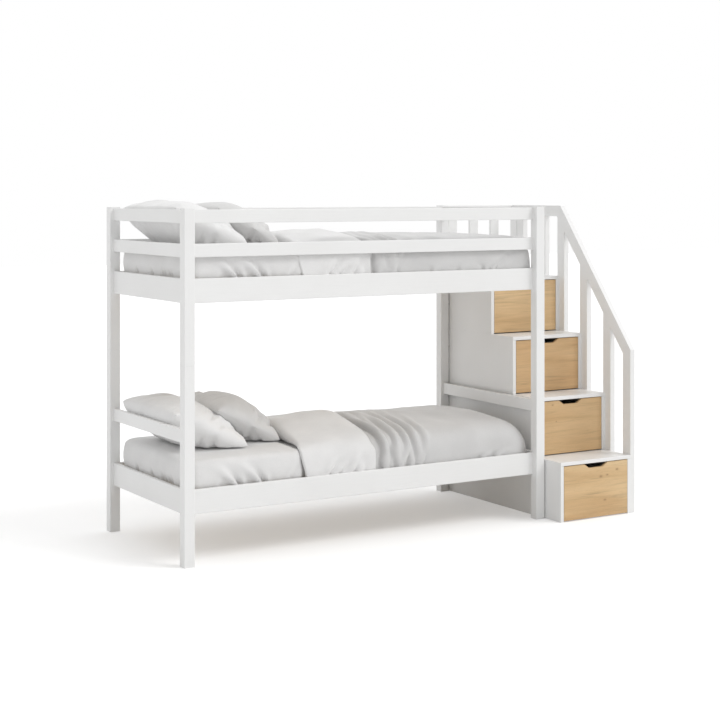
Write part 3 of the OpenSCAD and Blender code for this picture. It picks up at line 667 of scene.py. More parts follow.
@dataclass(frozen=True)
class Fabric:
    """How a cloth behaves while it settles."""

    pressure: float
    frames: int
    tension: float
    bending: float
    growth: float = 0.0
    mass: float = 0.3
    steps: int = 6
    shear: float = 0.4

    def settle(self, piece: bpy.types.Object, held: np.ndarray, reach: float) -> None:
        """Lets a cloth piece settle, and keeps the result in its mesh.

        Args:
            piece: The piece, whose mesh is the cloth's shape at rest.
            held: How firmly each corner is held, from 0 to 1.
            reach: How far a corner may move.
        """
        before = points_of(piece.data)
        group = piece.vertex_groups.new(name="held")
        for share in np.unique(held[held > 0]):
            group.add([int(i) for i in np.flatnonzero(held == share)], float(share), "REPLACE")
        cloth = piece.modifiers.new("settle", "CLOTH")
        rules = cloth.settings
        rules.quality = self.steps
        rules.mass = self.mass
        rules.tension_stiffness = rules.compression_stiffness = self.tension
        rules.shear_stiffness = self.tension * self.shear
        rules.bending_stiffness = self.bending
        rules.use_pressure = True
        rules.uniform_pressure_force = self.pressure
        rules.shrink_min = -self.growth
        rules.effector_weights.gravity = 0.0
        if held.any():
            rules.vertex_group_mass = "held"
        cloth.collision_settings.use_collision = False
        cloth.point_cache.frame_start, cloth.point_cache.frame_end = 1, self.frames
        scene = bpy.context.scene
        for step in range(1, self.frames + 1):
            scene.frame_set(step)
        settled = piece.evaluated_get(bpy.context.evaluated_depsgraph_get()).to_mesh()
        moved = points_of(settled) - before
        piece.modifiers.remove(cloth)
        scene.frame_set(1)
        far = np.linalg.norm(moved, axis=1, keepdims=True)
        set_points(piece.data, before + moved * np.minimum(1.0, reach / np.maximum(far, TINY)))


# ---- Bedding ----


def evenly(line: np.ndarray, steps: np.ndarray, count: int, closed: bool = False) -> np.ndarray:
    """Spaces points evenly along a line.

    Args:
        line: The line's points.
        steps: How far each point is from the one before.
        count: How many points to give.
        closed: Whether the line ends where it starts.

    Returns:
        The new points.
    """
    walked = np.concatenate([[0], np.cumsum(steps)])
    even = np.linspace(0, walked[-1], count, endpoint=not closed)
    return np.stack([np.interp(even, walked, column) for column in line.T], 1)


@dataclass(frozen=True)
class Bay:
    """The box of a mattress or duvet, and how far its bed stands above the lower one."""

    low: Vector
    high: Vector
    rise: float

    @classmethod
    def of(cls, kind: str, level: Level) -> "Bay":
        """The bay of one bed's mattress or duvet."""
        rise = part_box(f"mattress_{level.value}")[0].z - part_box("mattress_lower")[0].z
        return cls(*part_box(f"{kind}_{level.value}"), rise)

    @property
    def middle(self) -> float:
        """The Y of the bed's middle line."""
        return (self.low.y + self.high.y) / 2

    def sides(self, points: np.ndarray) -> tuple[np.ndarray, np.ndarray]:
        """Each point's side of the middle line, as -1 or 1, and its distance from it."""
        away = points[:, 1] - self.middle
        return np.sign(away), np.abs(away)


@dataclass(frozen=True)
class Dent:
    """A short crease in a pillow's face, with a ridge beside it.

    It runs from its start, in metres across and along the flat pillow, at an
    angle from the pillow's width, and fades towards both ends.
    """

    across: float
    along: float
    angle: float
    length: float
    width: float
    depth: float

    def lift(self, points: np.ndarray) -> np.ndarray:
        """How far the dent moves each point of the face, below zero in the crease.

        Args:
            points: Points of the flat pillow.

        Returns:
            How far each point moves.
        """
        cos, sin = math.cos(self.angle), math.sin(self.angle)
        x, y = points[:, 0] - self.across, points[:, 1] - self.along
        run = (x * cos + y * sin) / self.length
        off = (y * cos - x * sin) / (self.width * (1 + 0.8 * np.abs(run)))
        return -self.depth * hump(off, 0.8, 1.5) * np.exp(-(run**2))


@dataclass(frozen=True)
class Pillow:
    """A soft pillow in a plain case: two panels sewn along a sharp edge.

    It is blown up flat, then laid so that its lower edge rests on the mattress
    and its upper edge leans back towards the head rails.
    """

    name: str
    low_edge: tuple[float, float]
    high_edge: tuple[float, float]
    near_y: float
    far_y: float
    rests_on_z: float
    seed: float
    dents: tuple[Dent, ...]
    arch: float
    loft: float = 0.100
    far_droop: float = 0.0
    fullness: float = 0.62
    under: float = 1.0
    columns: int = 92
    rows: int = 62
    give: float = 1.045
    first_loft: float = 0.35
    gather: float = 0.007
    gather_reach: float = 0.06
    gather_start: float = 0.012
    waist: float = 0.015
    soft: float = 0.012

    def net(self) -> tuple[np.ndarray, np.ndarray, list[tuple[int, ...]]]:
        """The pillow's two panels before it is filled.

        Returns:
            Its corners in its own flat frame (Y along, X across, Z out), its
            plan places from -1 to 1, and its faces.
        """
        length = (self.far_y - self.near_y) * self.give
        width = math.dist(self.low_edge, self.high_edge) * self.give
        grid = np.meshgrid(*(np.linspace(-1, 1, count) for count in (self.columns, self.rows)))
        plan = np.stack([line.ravel() for line in grid[::-1]], 1)
        plan = (plan + np.sin(plan * math.pi / 2)) / 2
        fill = np.sqrt(np.clip(np.prod(1 - plan**2, axis=1), 0, 1))
        flat = np.column_stack([plan * (width / 2, length / 2), fill * self.loft * self.first_loft])
        inside = fill >= 1e-6
        twin = np.arange(len(flat))
        twin[inside] = len(flat) + np.arange(inside.sum())
        top = grid_faces(self.rows, self.columns)
        faces = [face[::-1] for face in top] + [tuple(twin[list(face)]) for face in top]
        points = np.vstack([flat, flat[inside] * (1, 1, -1)])
        return points, np.vstack([plan, plan[inside]]), faces

    def build(self, material: bpy.types.Material) -> bpy.types.Object:
        """Makes, fills and lays the pillow.

        Args:
            material: The case's material.

        Returns:
            The pillow.
        """
        points, plan, faces = self.net()
        piece = make_object(self.name, points, faces, material)
        Fabric(6.0, 26, 14.0, 0.25).settle(piece, np.zeros(len(points)), 0.2)
        relax(piece, 40)
        # The seams draw in between the corners, which stay out as ears
        shape = points_of(piece.data)
        shape[:, :2] = points[:, :2] * (1 - self.waist * (1 - plan[:, ::-1] ** 2))
        share = shape[:, 2] / np.abs(shape[:, 2]).max()
        shape[:, 2] = self.loft * np.sign(share) * np.abs(share) ** self.fullness
        shape[:, 2] *= np.where(share < 0, self.under, 1.0)
        self.ease_faces(shape, plan)
        set_points(piece.data, self.laid(shape, plan))
        subdivide(piece)
        return piece

    def ease_faces(self, shape: np.ndarray, plan: np.ndarray) -> None:
        """Adds slack to the faces, the gathers that run in from the seams, and the dents.

        Args:
            shape: The filled pillow's corners, which are moved.
            plan: Their plan places.
        """
        seed, height = self.seed, shape[:, 2]
        face = np.sign(height + TINY)
        slack = mottle(shape, (0.16, seed, 0.007), (0.07, seed + 9, 0.0025))
        height += slack * np.prod(1 - np.abs(plan) ** 3, axis=1) * face
        half = np.abs(shape[:, :2]).max(axis=0)
        for axis in (0, 1):
            far = (1 - np.abs(plan[:, 1 - axis])) * half[1 - axis]
            line = shape * (0.25, 0.25, 0.0)
            line[:, axis] = shape[:, axis]
            gather = mottle(line, (0.045, seed + 3 * axis, 1.0), (0.024, seed + 5, 0.6))
            fade = np.exp(-far / self.gather_reach) * (1 - np.exp(-far / self.gather_start))
            height += face * self.gather * gather * fade
        for dent in self.dents:
            height += face * dent.lift(shape)

    def laid(self, shape: np.ndarray, plan: np.ndarray) -> np.ndarray:
        """Carries the flat pillow to its place.

        Args:
            shape: The filled pillow in its own flat frame.
            plan: Its plan places.

        Returns:
            The corners in the bed's frame.
        """
        low = np.array(self.low_edge)
        chord = np.array(self.high_edge) - low
        up = chord / float(np.linalg.norm(chord))
        out = (up[1], -up[0])
        extent, length = np.ptp(shape[:, :2], axis=0)
        rise = np.clip(1 - (shape[:, 0] - shape[:, 0].min()) / extent, 0, 1)
        swept = rise**1.5
        middle = 1 - 0.55 * np.abs(plan[:, 1]) ** 2.2
        lift = shape[:, 2] + self.arch * np.sin(swept * math.pi) * middle
        x, z = (low[k] + chord[k] * rise + out[k] * lift for k in (0, 1))
        y = (self.near_y + self.far_y) / 2 + shape[:, 1] * (self.far_y - self.near_y) / length
        z -= self.far_droop * swept * np.clip(plan[:, 1], 0, 1) ** 2
        over = (z - self.rests_on_z - self.soft) / self.soft
        z = np.where(over < 0, self.rests_on_z + self.soft * np.exp(np.minimum(over, 0)), z)
        return np.stack([x, y, z], 1)


def lay_against(upper: bpy.types.Object, lower: bpy.types.Object, gap: float) -> None:
    """Lifts what would sink into the piece below, so that one lies on the other.

    Args:
        upper: The piece that is lifted.
        lower: The piece below.
        gap: What is left between them.
    """
    tree = BVHTree.FromPolygons(
        [v.co[:] for v in lower.data.vertices], [p.vertices[:] for p in lower.data.polygons]
    )
    points = points_of(upper.data)
    for i, (x, y, z) in enumerate(points.tolist()):
        hit = tree.ray_cast(Vector((x, y, 3.0)), Vector((0, 0, -1)))[0]
        if hit is not None and z < hit.z + gap:
            points[i, 2] = hit.z + gap
    set_points(upper.data, points)


@dataclass(frozen=True)
class Crease:
    """A ridge with a valley beside it, which rises from a soft side's lower edge."""

    x: float
    lean: float
    reach: float
    width: float
    depth: float

    def lift(self, points: np.ndarray, foot_z: float) -> np.ndarray:
        """How far the crease pushes each point out, below zero in the valley.

        Args:
            points: Points of the side.
            foot_z: The height of the side's lower edge.

        Returns:
            How far each point moves.
        """
        rise = np.clip(points[:, 2] - foot_z, 0, None) / self.reach
        spread = self.width * (1 + np.clip(rise, 0, 1.5))
        away = (points[:, 0] - self.x - self.lean * self.reach * rise) / spread
        return self.depth * np.exp(-(rise**2)) * hump(away, 0.85, 1.6)


@dataclass(frozen=True)
class Mattress:
    """A foam mattress in a fitted sheet that is pulled tight over its corners."""

    level: Level
    corner: float = 0.055
    shoulder: float = 0.036
    foot: float = 0.016
    crown: float = 0.010
    belly: float = 0.005
    press: float = 0.020
    top_press: float = 0.018
    foot_press: float = 0.032
    hem: float = 0.11
    hem_lift: float = 0.0015
    covered_x: float = -0.655
    pucker_depth: float = 0.019
    pucker_width: float = 0.011
    pucker_height: float = 0.022
    cell: float = 0.011
    rail_over: float = 0.018
    underside: tuple[float, ...] = (0.02, 0.3, 0.6, 0.8)
    creases: tuple[Crease, ...] = table(
        Crease, (-1.003, -1.05, 0.070, 0.013, 0.026), (-0.955, -0.8, 0.035, 0.010, 0.006),
        (-0.876, -1.00, 0.072, 0.013, 0.025), (-0.825, -0.7, 0.040, 0.010, 0.006),
        (-0.725, 0.45, 0.085, 0.014, 0.006), (-1.10, 0.2, 0.05, 0.013, 0.005),
    )
    puckers: tuple[float, ...] = (-0.27, -0.160, -0.128, -0.084, -0.044, 0.09, 0.285)

    def outline(self, bay: Bay, count: int) -> np.ndarray:
        """Points round the mattress in plan, evenly spaced, from its head end.

        Args:
            bay: The mattress's box.
            count: How many points.

        Returns:
            The points.
        """
        r, low, high = self.corner, bay.low, bay.high
        parts = []
        for quarter, centre in enumerate((
            (low.x + r, low.y + r), (high.x - r, low.y + r),
            (high.x - r, high.y - r), (low.x + r, high.y - r),
        ), start=2):
            turn = np.linspace(quarter, quarter + 1, 12) * math.pi / 2
            parts.append(np.array(centre) + r * np.stack([np.cos(turn), np.sin(turn)], 1))
        ring = np.vstack([*parts, parts[0][:1]])
        return evenly(ring, np.linalg.norm(np.diff(ring, axis=0), axis=1), count, closed=True)

    def side(self, low: float, high: float) -> list[tuple[float, float]]:
        """Inset and height of each ring round the side, from the bottom to the top.

        Args:
            low: The height of the underside.
            high: The height of the top.

        Returns:
            The rings.
        """
        r, foot = self.shoulder, self.foot
        rows = [(foot * (1 - math.sin(a)), low + foot * (1 - math.cos(a)))
                for a in np.linspace(0, math.pi / 2, 4)]
        rows += [(-self.belly * math.sin(t * math.pi), low + foot + (high - r - low - foot) * t)
                 for t in np.linspace(0.12, 0.88, 8)]
        rows += [(r * (1 - math.cos(a)), high - r + r * math.sin(a))
                 for a in np.linspace(0, math.pi / 2, 8)]
        return rows

    def build(self, sheet: bpy.types.Material, ticking: bpy.types.Material) -> bpy.types.Object:
        """Makes the mattress.

        Args:
            sheet: The fitted sheet's material.
            ticking: The material of the bare underside.

        Returns:
            The mattress.
        """
        bay = Bay.of("mattress", self.level)
        low, high = bay.low, bay.high
        centre = np.array(((low + high) / 2)[:2])
        count = int(2 * (high.x - low.x + high.y - low.y) / self.cell) // 4 * 4
        ring = self.outline(bay, count) - centre
        half = np.abs(ring).max(axis=0)
        # From the middle of the underside, round the edge and in over the top
        rings = [(ring * share, low.z) for share in self.underside]
        rings.append((ring * (1 - self.hem / half), low.z + self.hem_lift))
        rings += [(ring * (1 - inset / half), z) for inset, z in (
            *((inset, low.z) for inset in (self.hem - 0.004, self.hem - 0.012, 0.06, 0.035)),
            *self.side(low.z, high.z),
        )]
        flat = ring * (1 - self.shoulder / half)
        rings += [(flat * share, high.z) for share in np.linspace(0.985, 0.03, 36)]
        points = np.concatenate([
            np.column_stack([centre + line, np.full(count, z)]) for line, z in rings
        ])
        self.shape(points, bay)
        last = len(points) - count
        faces = [
            (start + a, start + b, start + count + b, start + count + a)
            for start in range(0, last, count) for a, b in zip(range(count), (*range(1, count), 0))
        ]
        faces += [tuple(reversed(range(count))), tuple(range(last, len(points)))]
        piece = make_object(f"mattress_in_sheet_{self.level.value}", points, faces, sheet)
        piece.data.materials.append(ticking)
        bare = count * len(self.underside)
        for polygon in piece.data.polygons:
            if min(polygon.vertices) < bare and max(polygon.vertices) < bare + count:
                polygon.material_index = 1
        return piece

    def shape(self, points: np.ndarray, bay: Bay) -> None:
        """Crowns the top, adds the sheet's creases and presses in what the duvet covers.

        Args:
            points: The mattress's corners, which are moved.
            bay: Its box.
        """
        low, high = bay.low, bay.high
        x, y, z = points.T
        u, v = ((line - low[k]) / (high[k] - low[k]) * 2 - 1 for k, line in enumerate((x, y)))
        dome = (1 - np.abs(u) ** 4) * (1 - np.abs(v) ** 2.4)
        z += (self.crown * dome - 0.003) * smooth_step(z, (low.z + high.z) / 2, high.z)
        foot = low.z + self.rail_over
        flank = 1 - smooth_step(z, high.z - 0.045, high.z - 0.004)
        flank *= smooth_step(z, low.z - 0.01, low.z + 0.008)
        out, away = bay.sides(points)
        edge = smooth_step(away, FLANK_Y, 0.43)
        for crease in self.creases:
            y += out * edge * flank * crease.lift(points, foot)
        head = smooth_step(-x, -low.x - 0.03, -low.x - 0.01)
        rise = np.clip(z - foot, 0, None) / self.pucker_height
        for place in self.puckers:
            near = np.exp(-(((y - place) / self.pucker_width) ** 2) - rise**2)
            x += self.pucker_depth * head * flank * near
        z += mottle(points, (0.21, 5.0, 0.0016)) * smooth_step(z, high.z - 0.02, high.z)
        covered = smooth_step(x, self.covered_x, self.covered_x + 0.03)
        y -= self.press * covered * out
        z -= self.top_press * covered * smooth_step(z, high.z - 0.05, high.z)
        x -= self.foot_press * smooth_step(x, high.x - 0.12, high.x)


@dataclass(frozen=True)
class Fold:
    """A fold in the duvet, from its near hem over the top to its far hem.

    Its ease says how much of it goes out again down the sides, from 0 to 1.
    """

    near_x: float
    far_x: float
    width: float
    height: float
    ease: float = 0.0


@dataclass(frozen=True)
class DuvetPart:
    """A stretch of the duvet, as an inverted trough over the mattress.

    Its crown rises from both edges to the middle, and falls towards the foot.
    Its fabric lets each point settle within its reach, and its wall is as thick
    as its hems show.
    """

    kind: str
    start_x: float
    edge_z: float
    crown: float
    foot_edge_z: float
    foot_crown: float
    fabric: Fabric
    reach: float
    wall: float
    creases: tuple[Crease, ...]
    shoulder: float = 0.100
    tilt: float = math.radians(75)
    swell: float = 1.4
    softness: int = 16
    cell: float = 0.0115

    def section(self, half: float, hem_z: float, count: int) -> tuple[np.ndarray, np.ndarray]:
        """Evenly spaced points of the cross-section.

        Args:
            half: Half of the duvet's width.
            hem_z: The height of its hems.
            count: How many points.

        Returns:
            Each point's Y from the middle and side height, and its share of the crown.
        """
        r, start_z = self.shoulder, self.edge_z - self.shoulder * math.sin(self.tilt)
        side = [(half, hem_z, 0.0)]
        side += [(half - r + r * math.cos(a), start_z + r * math.sin(a), 0.0)
                 for a in np.linspace(0, self.tilt, 9)]
        inner = side[-1][0]
        top = [(inner * t, self.edge_z, 1 - t**self.swell) for t in np.linspace(1, 0, 30)[1:]]
        right = np.array(side + top)
        line = np.vstack([right * (-1, 1, 1), right[::-1][1:]])
        steps = np.hypot(np.diff(line[:, 0]), np.diff(line[:, 1] + line[:, 2] * self.crown))
        drawn = evenly(line, steps, count)
        for _ in range(self.softness):
            drawn[1:-1] = (drawn[:-2] + 2 * drawn[1:-1] + drawn[2:]) / 4
        return drawn[:, :2], drawn[:, 2]


BODY = DuvetPart(
    "body", -0.36, 0.523, 0.060, 0.523, 0.011, Fabric(0.8, 20, 10.0, 0.15, 0.022), 0.010, 0.006,
    table(
        Crease, (-0.165, -0.05, 0.30, 0.012, 0.010), (0.402, 0.8, 0.016, 0.014, -0.008),
        (0.494, 0.8, 0.018, 0.016, -0.009), (-0.112, 0.1, 0.035, 0.011, -0.009),
        (-0.04, 0.1, 0.035, 0.011, -0.009), (-0.070, 0.20, 0.10, 0.009, 0.012),
        (-0.012, -0.15, 0.09, 0.009, 0.011), (0.040, 0.25, 0.06, 0.009, 0.009),
    ),
)
BAND = DuvetPart(
    "band", -0.585, 0.530, 0.066, 0.530, 0.056, Fabric(0.8, 16, 12.0, 0.25, 0.012), 0.007, 0.009,
    table(
        Crease, (-0.515, 0.6, 0.055, 0.012, 0.024), (-0.455, 1.1, 0.035, 0.011, 0.013),
        (-0.375, 0.4, 0.070, 0.012, 0.019), (-0.315, -0.3, 0.05, 0.011, 0.008),
    ),
)


@dataclass(frozen=True)
class Duvet:
    """A light duvet whose head end is folded back in a wide band.

    The band is the lining side, a little paler, and ends in a hem; from there the
    duvet runs on to the foot, where it is tucked in between mattress and rails.
    """

    level: Level
    seed: float
    folds: tuple[Fold, ...]
    bulge: float = 0.010
    hem_x: float = -0.240
    hem_side: float = 0.018
    fold_side: float = 0.070
    side_gap: float = 0.002
    body: DuvetPart = BODY
    band: DuvetPart = BAND
    thin_edge: float = 0.34
    foot_turn: float = 0.14
    foot_round: float = 0.42
    lap: float = 0.012
    skew: float = 0.045
    hem_fall: float = 0.010
    tuck_in: float = 0.011
    tuck_down: float = 0.018
    overlap: float = 0.006
    roll_under: float = 0.05

    @property
    def bay(self) -> Bay:
        """The duvet's box."""
        return Bay.of("duvet", self.level)

    def sweep(self, part: DuvetPart, xs: np.ndarray,
              sinks: np.ndarray) -> tuple[np.ndarray, int]:
        """Draws one stretch of the duvet along the bed.

        Args:
            part: The stretch.
            xs: Where each cross-section stands.
            sinks: How far each one has sunk to the hem, from 0 to 1.

        Returns:
            The points row by row, and how many there are in a row.
        """
        bay = self.bay
        half = (bay.high.y - bay.low.y) / 2 - self.side_gap
        hem, foot_x, turn = bay.low.z - bay.rise, bay.high.x, self.foot_turn
        girth = 2 * (half + part.edge_z + part.crown * 0.6 - hem)
        count = int(girth / part.cell) // 2 * 2 + 1
        shape, share = part.section(half, hem, count)
        rows = []
        for x, sink in zip(xs, sinks):
            over = np.clip((x - (foot_x - turn)) / turn, 0, 1)
            run = np.clip((x - part.start_x) / (foot_x - part.start_x), 0, 1)
            crown = part.crown + (part.foot_crown - part.crown) * run**1.5
            edge = 1 + ((part.foot_edge_z - hem) / (part.edge_z - hem) - 1) * run
            z = hem + ((shape[:, 1] - hem) * edge + share * crown) * (1 - sink)
            narrow = 1 - turn * self.foot_round * (1 - math.sqrt(1 - over**2)) / half
            y = bay.middle + shape[:, 0] * narrow
            rows.append(np.column_stack([np.full(count, x), y, z + bay.rise]))
        return np.concatenate(rows), count

    def build_body(self, material: bpy.types.Material) -> bpy.types.Object:
        """Makes the stretch from under the band to the foot.

        Args:
            material: The cover's material.

        Returns:
            The piece.
        """
        bay = self.bay
        low, high = bay.low, bay.high
        part, turn = self.body, self.foot_turn
        run = np.arange(part.start_x, high.x - turn, part.cell)
        bend = np.linspace(0, math.pi / 2, 10)
        peak = part.foot_edge_z + part.foot_crown - (low.z - bay.rise)
        down = np.linspace(turn, peak - 0.001, 14)[1:]
        xs = np.concatenate([run, high.x - turn + turn * np.sin(bend), np.full(len(down), high.x)])
        drops = np.concatenate([np.zeros(len(run)), turn * (1 - np.cos(bend)), down])
        points, count = self.sweep(part, xs, drops / peak)
        points = ease_grid(points, len(xs), count, 8)
        under = 1 - smooth_step(points[:, 0], self.hem_x + 0.015, self.hem_x + 0.075)
        points[:, 1] -= self.tuck_in * under * bay.sides(points)[0]
        points[:, 2] -= self.tuck_down * under * smooth_step(points[:, 2], low.z, low.z + 0.1)
        self.add_folds(points, len(xs), count)
        self.add_creases(points, part, 0.4)
        return self.finished(part, points, self.held(len(xs), count, 2, 3, 1.0), material)

    def build_band(self, material: bpy.types.Material) -> bpy.types.Object:
        """Makes the folded-back band, rolled over at the head end.

        Args:
            material: The lining's material.

        Returns:
            The piece.
        """
        bay = self.bay
        low, high = bay.low, bay.high
        part = self.band
        xs = np.arange(part.start_x, self.hem_x, part.cell)
        points, count = self.sweep(part, xs, np.zeros(len(xs)))
        net = points.reshape(len(xs), count, 3)
        share = (xs - xs[0]) / (xs[-1] - xs[0])
        top = self.body.edge_z - 0.03 + bay.rise
        down = np.clip((top - net[0, :, 2]) / (top - low.z), 0, 1)
        from_near = (net[0, :, 1] - low.y) / (high.y - low.y)
        # The rolled edge runs askew over the bed, and both edges move down the sides
        lead = self.fold_side * np.exp(-from_near / 0.16)
        lead = lead - self.skew * from_near - self.skew * down
        net[:, :, 0] += np.outer(share, self.hem_side * np.clip(down * 5.0, 0, 1))
        net[:, :, 0] -= np.outer(1 - share, lead)
        net[:, :, 2] -= np.outer(smooth_step(share, 0.9, 1.0) * self.hem_fall, 1 - down)
        # The folded edge lies thinner than the rest
        bed_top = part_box(f"mattress_{self.level.value}")[1].z + REST_GAP
        thin = (1 - self.thin_edge) * np.exp(-(((xs - xs[0]) / 0.10) ** 1.5))
        thin = np.outer(thin, 1 - 0.75 * smooth_step(from_near, 0.12, 0.5))
        net[:, :, 2] -= np.clip(net[:, :, 2] - bed_top, 0, None) * thin
        roll = self.rolled_edge(net[0])
        rolled = len(roll) // count
        rows = len(xs) + rolled
        whole = ease_grid(np.concatenate([roll, net.reshape(-1, 3)]), rows, count, 5)
        self.fill_band(whole)
        return self.finished(part, whole, self.held(rows, count, rolled + 2, 1, 0.6), material)

    def rolled_edge(self, first: np.ndarray) -> np.ndarray:
        """The half-round edge from the mattress up to the band's first row.

        Args:
            first: The band's first row.

        Returns:
            The edge's points, row by row, from under the band outwards.
        """
        low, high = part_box(f"mattress_{self.level.value}")
        inner = first.copy()
        inner[:, 1] = np.clip(inner[:, 1], low.y - self.overlap, high.y + self.overlap)
        inner[:, 2] = np.minimum(inner[:, 2], high.z + REST_GAP)
        middle, reach = (first + inner) / 2, (first - inner) / 2
        thick = np.maximum(np.linalg.norm(reach, axis=1), 0.008)
        rows = [inner + (self.roll_under, 0.0, 0.0)]
        for a in np.linspace(math.pi, 0, 14)[:-1]:
            row = middle + reach * math.cos(a)
            row[:, 0] -= math.sin(a) * thick * 1.05
            rows.append(row)
        return np.concatenate(rows)

    def fill_band(self, points: np.ndarray) -> None:
        """Lets the folded edge bulge out over the rails, and the filling lie unevenly.

        Args:
            points: The band's points, which are moved.
        """
        x, y, z = points.T
        low_z = self.bay.low.z
        out, away = self.bay.sides(points)
        near = np.exp(-(((x + 0.635) / 0.045) ** 2)) * smooth_step(away, FLANK_Y, 0.44)
        y += out * near * smooth_step(z, low_z + 0.008, low_z + 0.04) * self.bulge * 0.9
        swell = mottle(points, (0.24, self.seed + 2, 0.010), (0.10, self.seed + 7, 0.004))
        z += swell * smooth_step(z, low_z + 0.1, low_z + 0.2)

    def add_folds(self, points: np.ndarray, rows: int, count: int) -> None:
        """Raises the body's folds and its gentle unevenness.

        Args:
            points: The body's points, which are moved.
            rows: How many rows.
            count: How many points in a row.
        """
        net, low, high = points.reshape(rows, count, 3), self.bay.low, self.bay.high
        out = np.cross(np.gradient(net, axis=0), np.gradient(net, axis=1)).reshape(-1, 3)
        out /= np.maximum(np.linalg.norm(out, axis=1, keepdims=True), TINY)
        out *= -1 if out[:, 2].mean() < 0 else 1
        x, y, z = points.T
        across = (y - low.y) / (high.y - low.y)
        lift = mottle(points, (0.26, self.seed, 0.006), (0.11, self.seed + 4, 0.003))
        for k, fold in enumerate(self.folds):
            line = fold.near_x + (fold.far_x - fold.near_x) * across
            line += 0.012 * np.sin(across * 12 + k * 1.9) + 0.005 * np.sin(z * 45 + k * 2)
            near = hump((x - line) / (fold.width * (1 + 0.9 * across)), 0.75, -1.5)
            fade = 1 - 0.88 * smooth_step(across, 0.16, 0.50 + 0.1 * math.sin(k * 2.3))
            hang = 1 - fold.ease * (1 - smooth_step(z, low.z + 0.03, low.z + 0.15))
            lift += fold.height * near * fade * hang
        lift *= smooth_step(z, low.z - 0.02, low.z + 0.03)
        points += out * lift[:, None]

    def add_creases(self, points: np.ndarray, part: DuvetPart, share: float = 1.0) -> None:
        """Raises the creases that run up from the rails on both sides.

        Args:
            points: The stretch's points, which are moved.
            part: The stretch.
            share: How much of the creases is raised.
        """
        out, away = self.bay.sides(points)
        side = smooth_step(away, FLANK_Y, 0.435) * share
        for crease in part.creases:
            points[:, 1] += out * crease.lift(points, self.bay.low.z + self.lap) * side

    @staticmethod
    def held(rows: int, count: int, start: int, end: int, firm: float) -> np.ndarray:
        """How firmly a stretch is held: along both hems, in its first rows and in its last.

        Args:
            rows: How many rows.
            count: How many points in a row.
            start: How many first rows are held.
            end: How many last rows are held.
            firm: How firmly the last rows are held.

        Returns:
            The hold on each point, from 0 to 1.
        """
        held = np.zeros((rows, count))
        held[:, :3] = held[:, -3:] = 1
        held[:start] = 1
        held[-end:] = firm
        return held

    def finished(self, part: DuvetPart, points: np.ndarray, held: np.ndarray,
                 material: bpy.types.Material) -> bpy.types.Object:
        """Makes a stretch, lets it settle and gives it its side creases and its thickness.

        Args:
            part: The stretch.
            points: Its grid of points.
            held: How firmly each one is held.
            material: Its material.

        Returns:
            The piece.
        """
        name = f"duvet_{part.kind}_{self.level.value}"
        piece = make_object(name, points, grid_faces(*held.shape), material)
        part.fabric.settle(piece, held.ravel(), part.reach)
        settled = points_of(piece.data)
        self.keep_inside(settled, part)
        set_points(piece.data, settled)
        subdivide(piece)
        skin = piece.modifiers.new("wall", "SOLIDIFY")
        skin.thickness, skin.offset, skin.use_rim = part.wall, -1.0, True
        return piece

    def keep_inside(self, points: np.ndarray, part: DuvetPart) -> None:
        """Adds the side creases, and keeps the sides and the foot clear of the rails.

        Args:
            points: The stretch's points, which are moved.
            part: The stretch.
        """
        bay, (x, y, z) = self.bay, points.T
        reach = self.bulge * smooth_step(z, bay.low.z + self.lap, bay.low.z + 0.03)
        reach += (bay.high.y - bay.low.y) / 2
        # First with room for the ridges of the creases, then with none
        for spare, soft in ((0.004, 0.005), (0.0, 0.0015)):
            out, away = bay.sides(points)
            room = np.logaddexp(0, (reach - spare - away) / soft) * soft
            y[:] = bay.middle + out * (reach - spare - room)
            if spare:
                self.add_creases(points, part)
        x[:], z[:] = np.minimum(x, bay.high.x), np.maximum(z, bay.low.z)


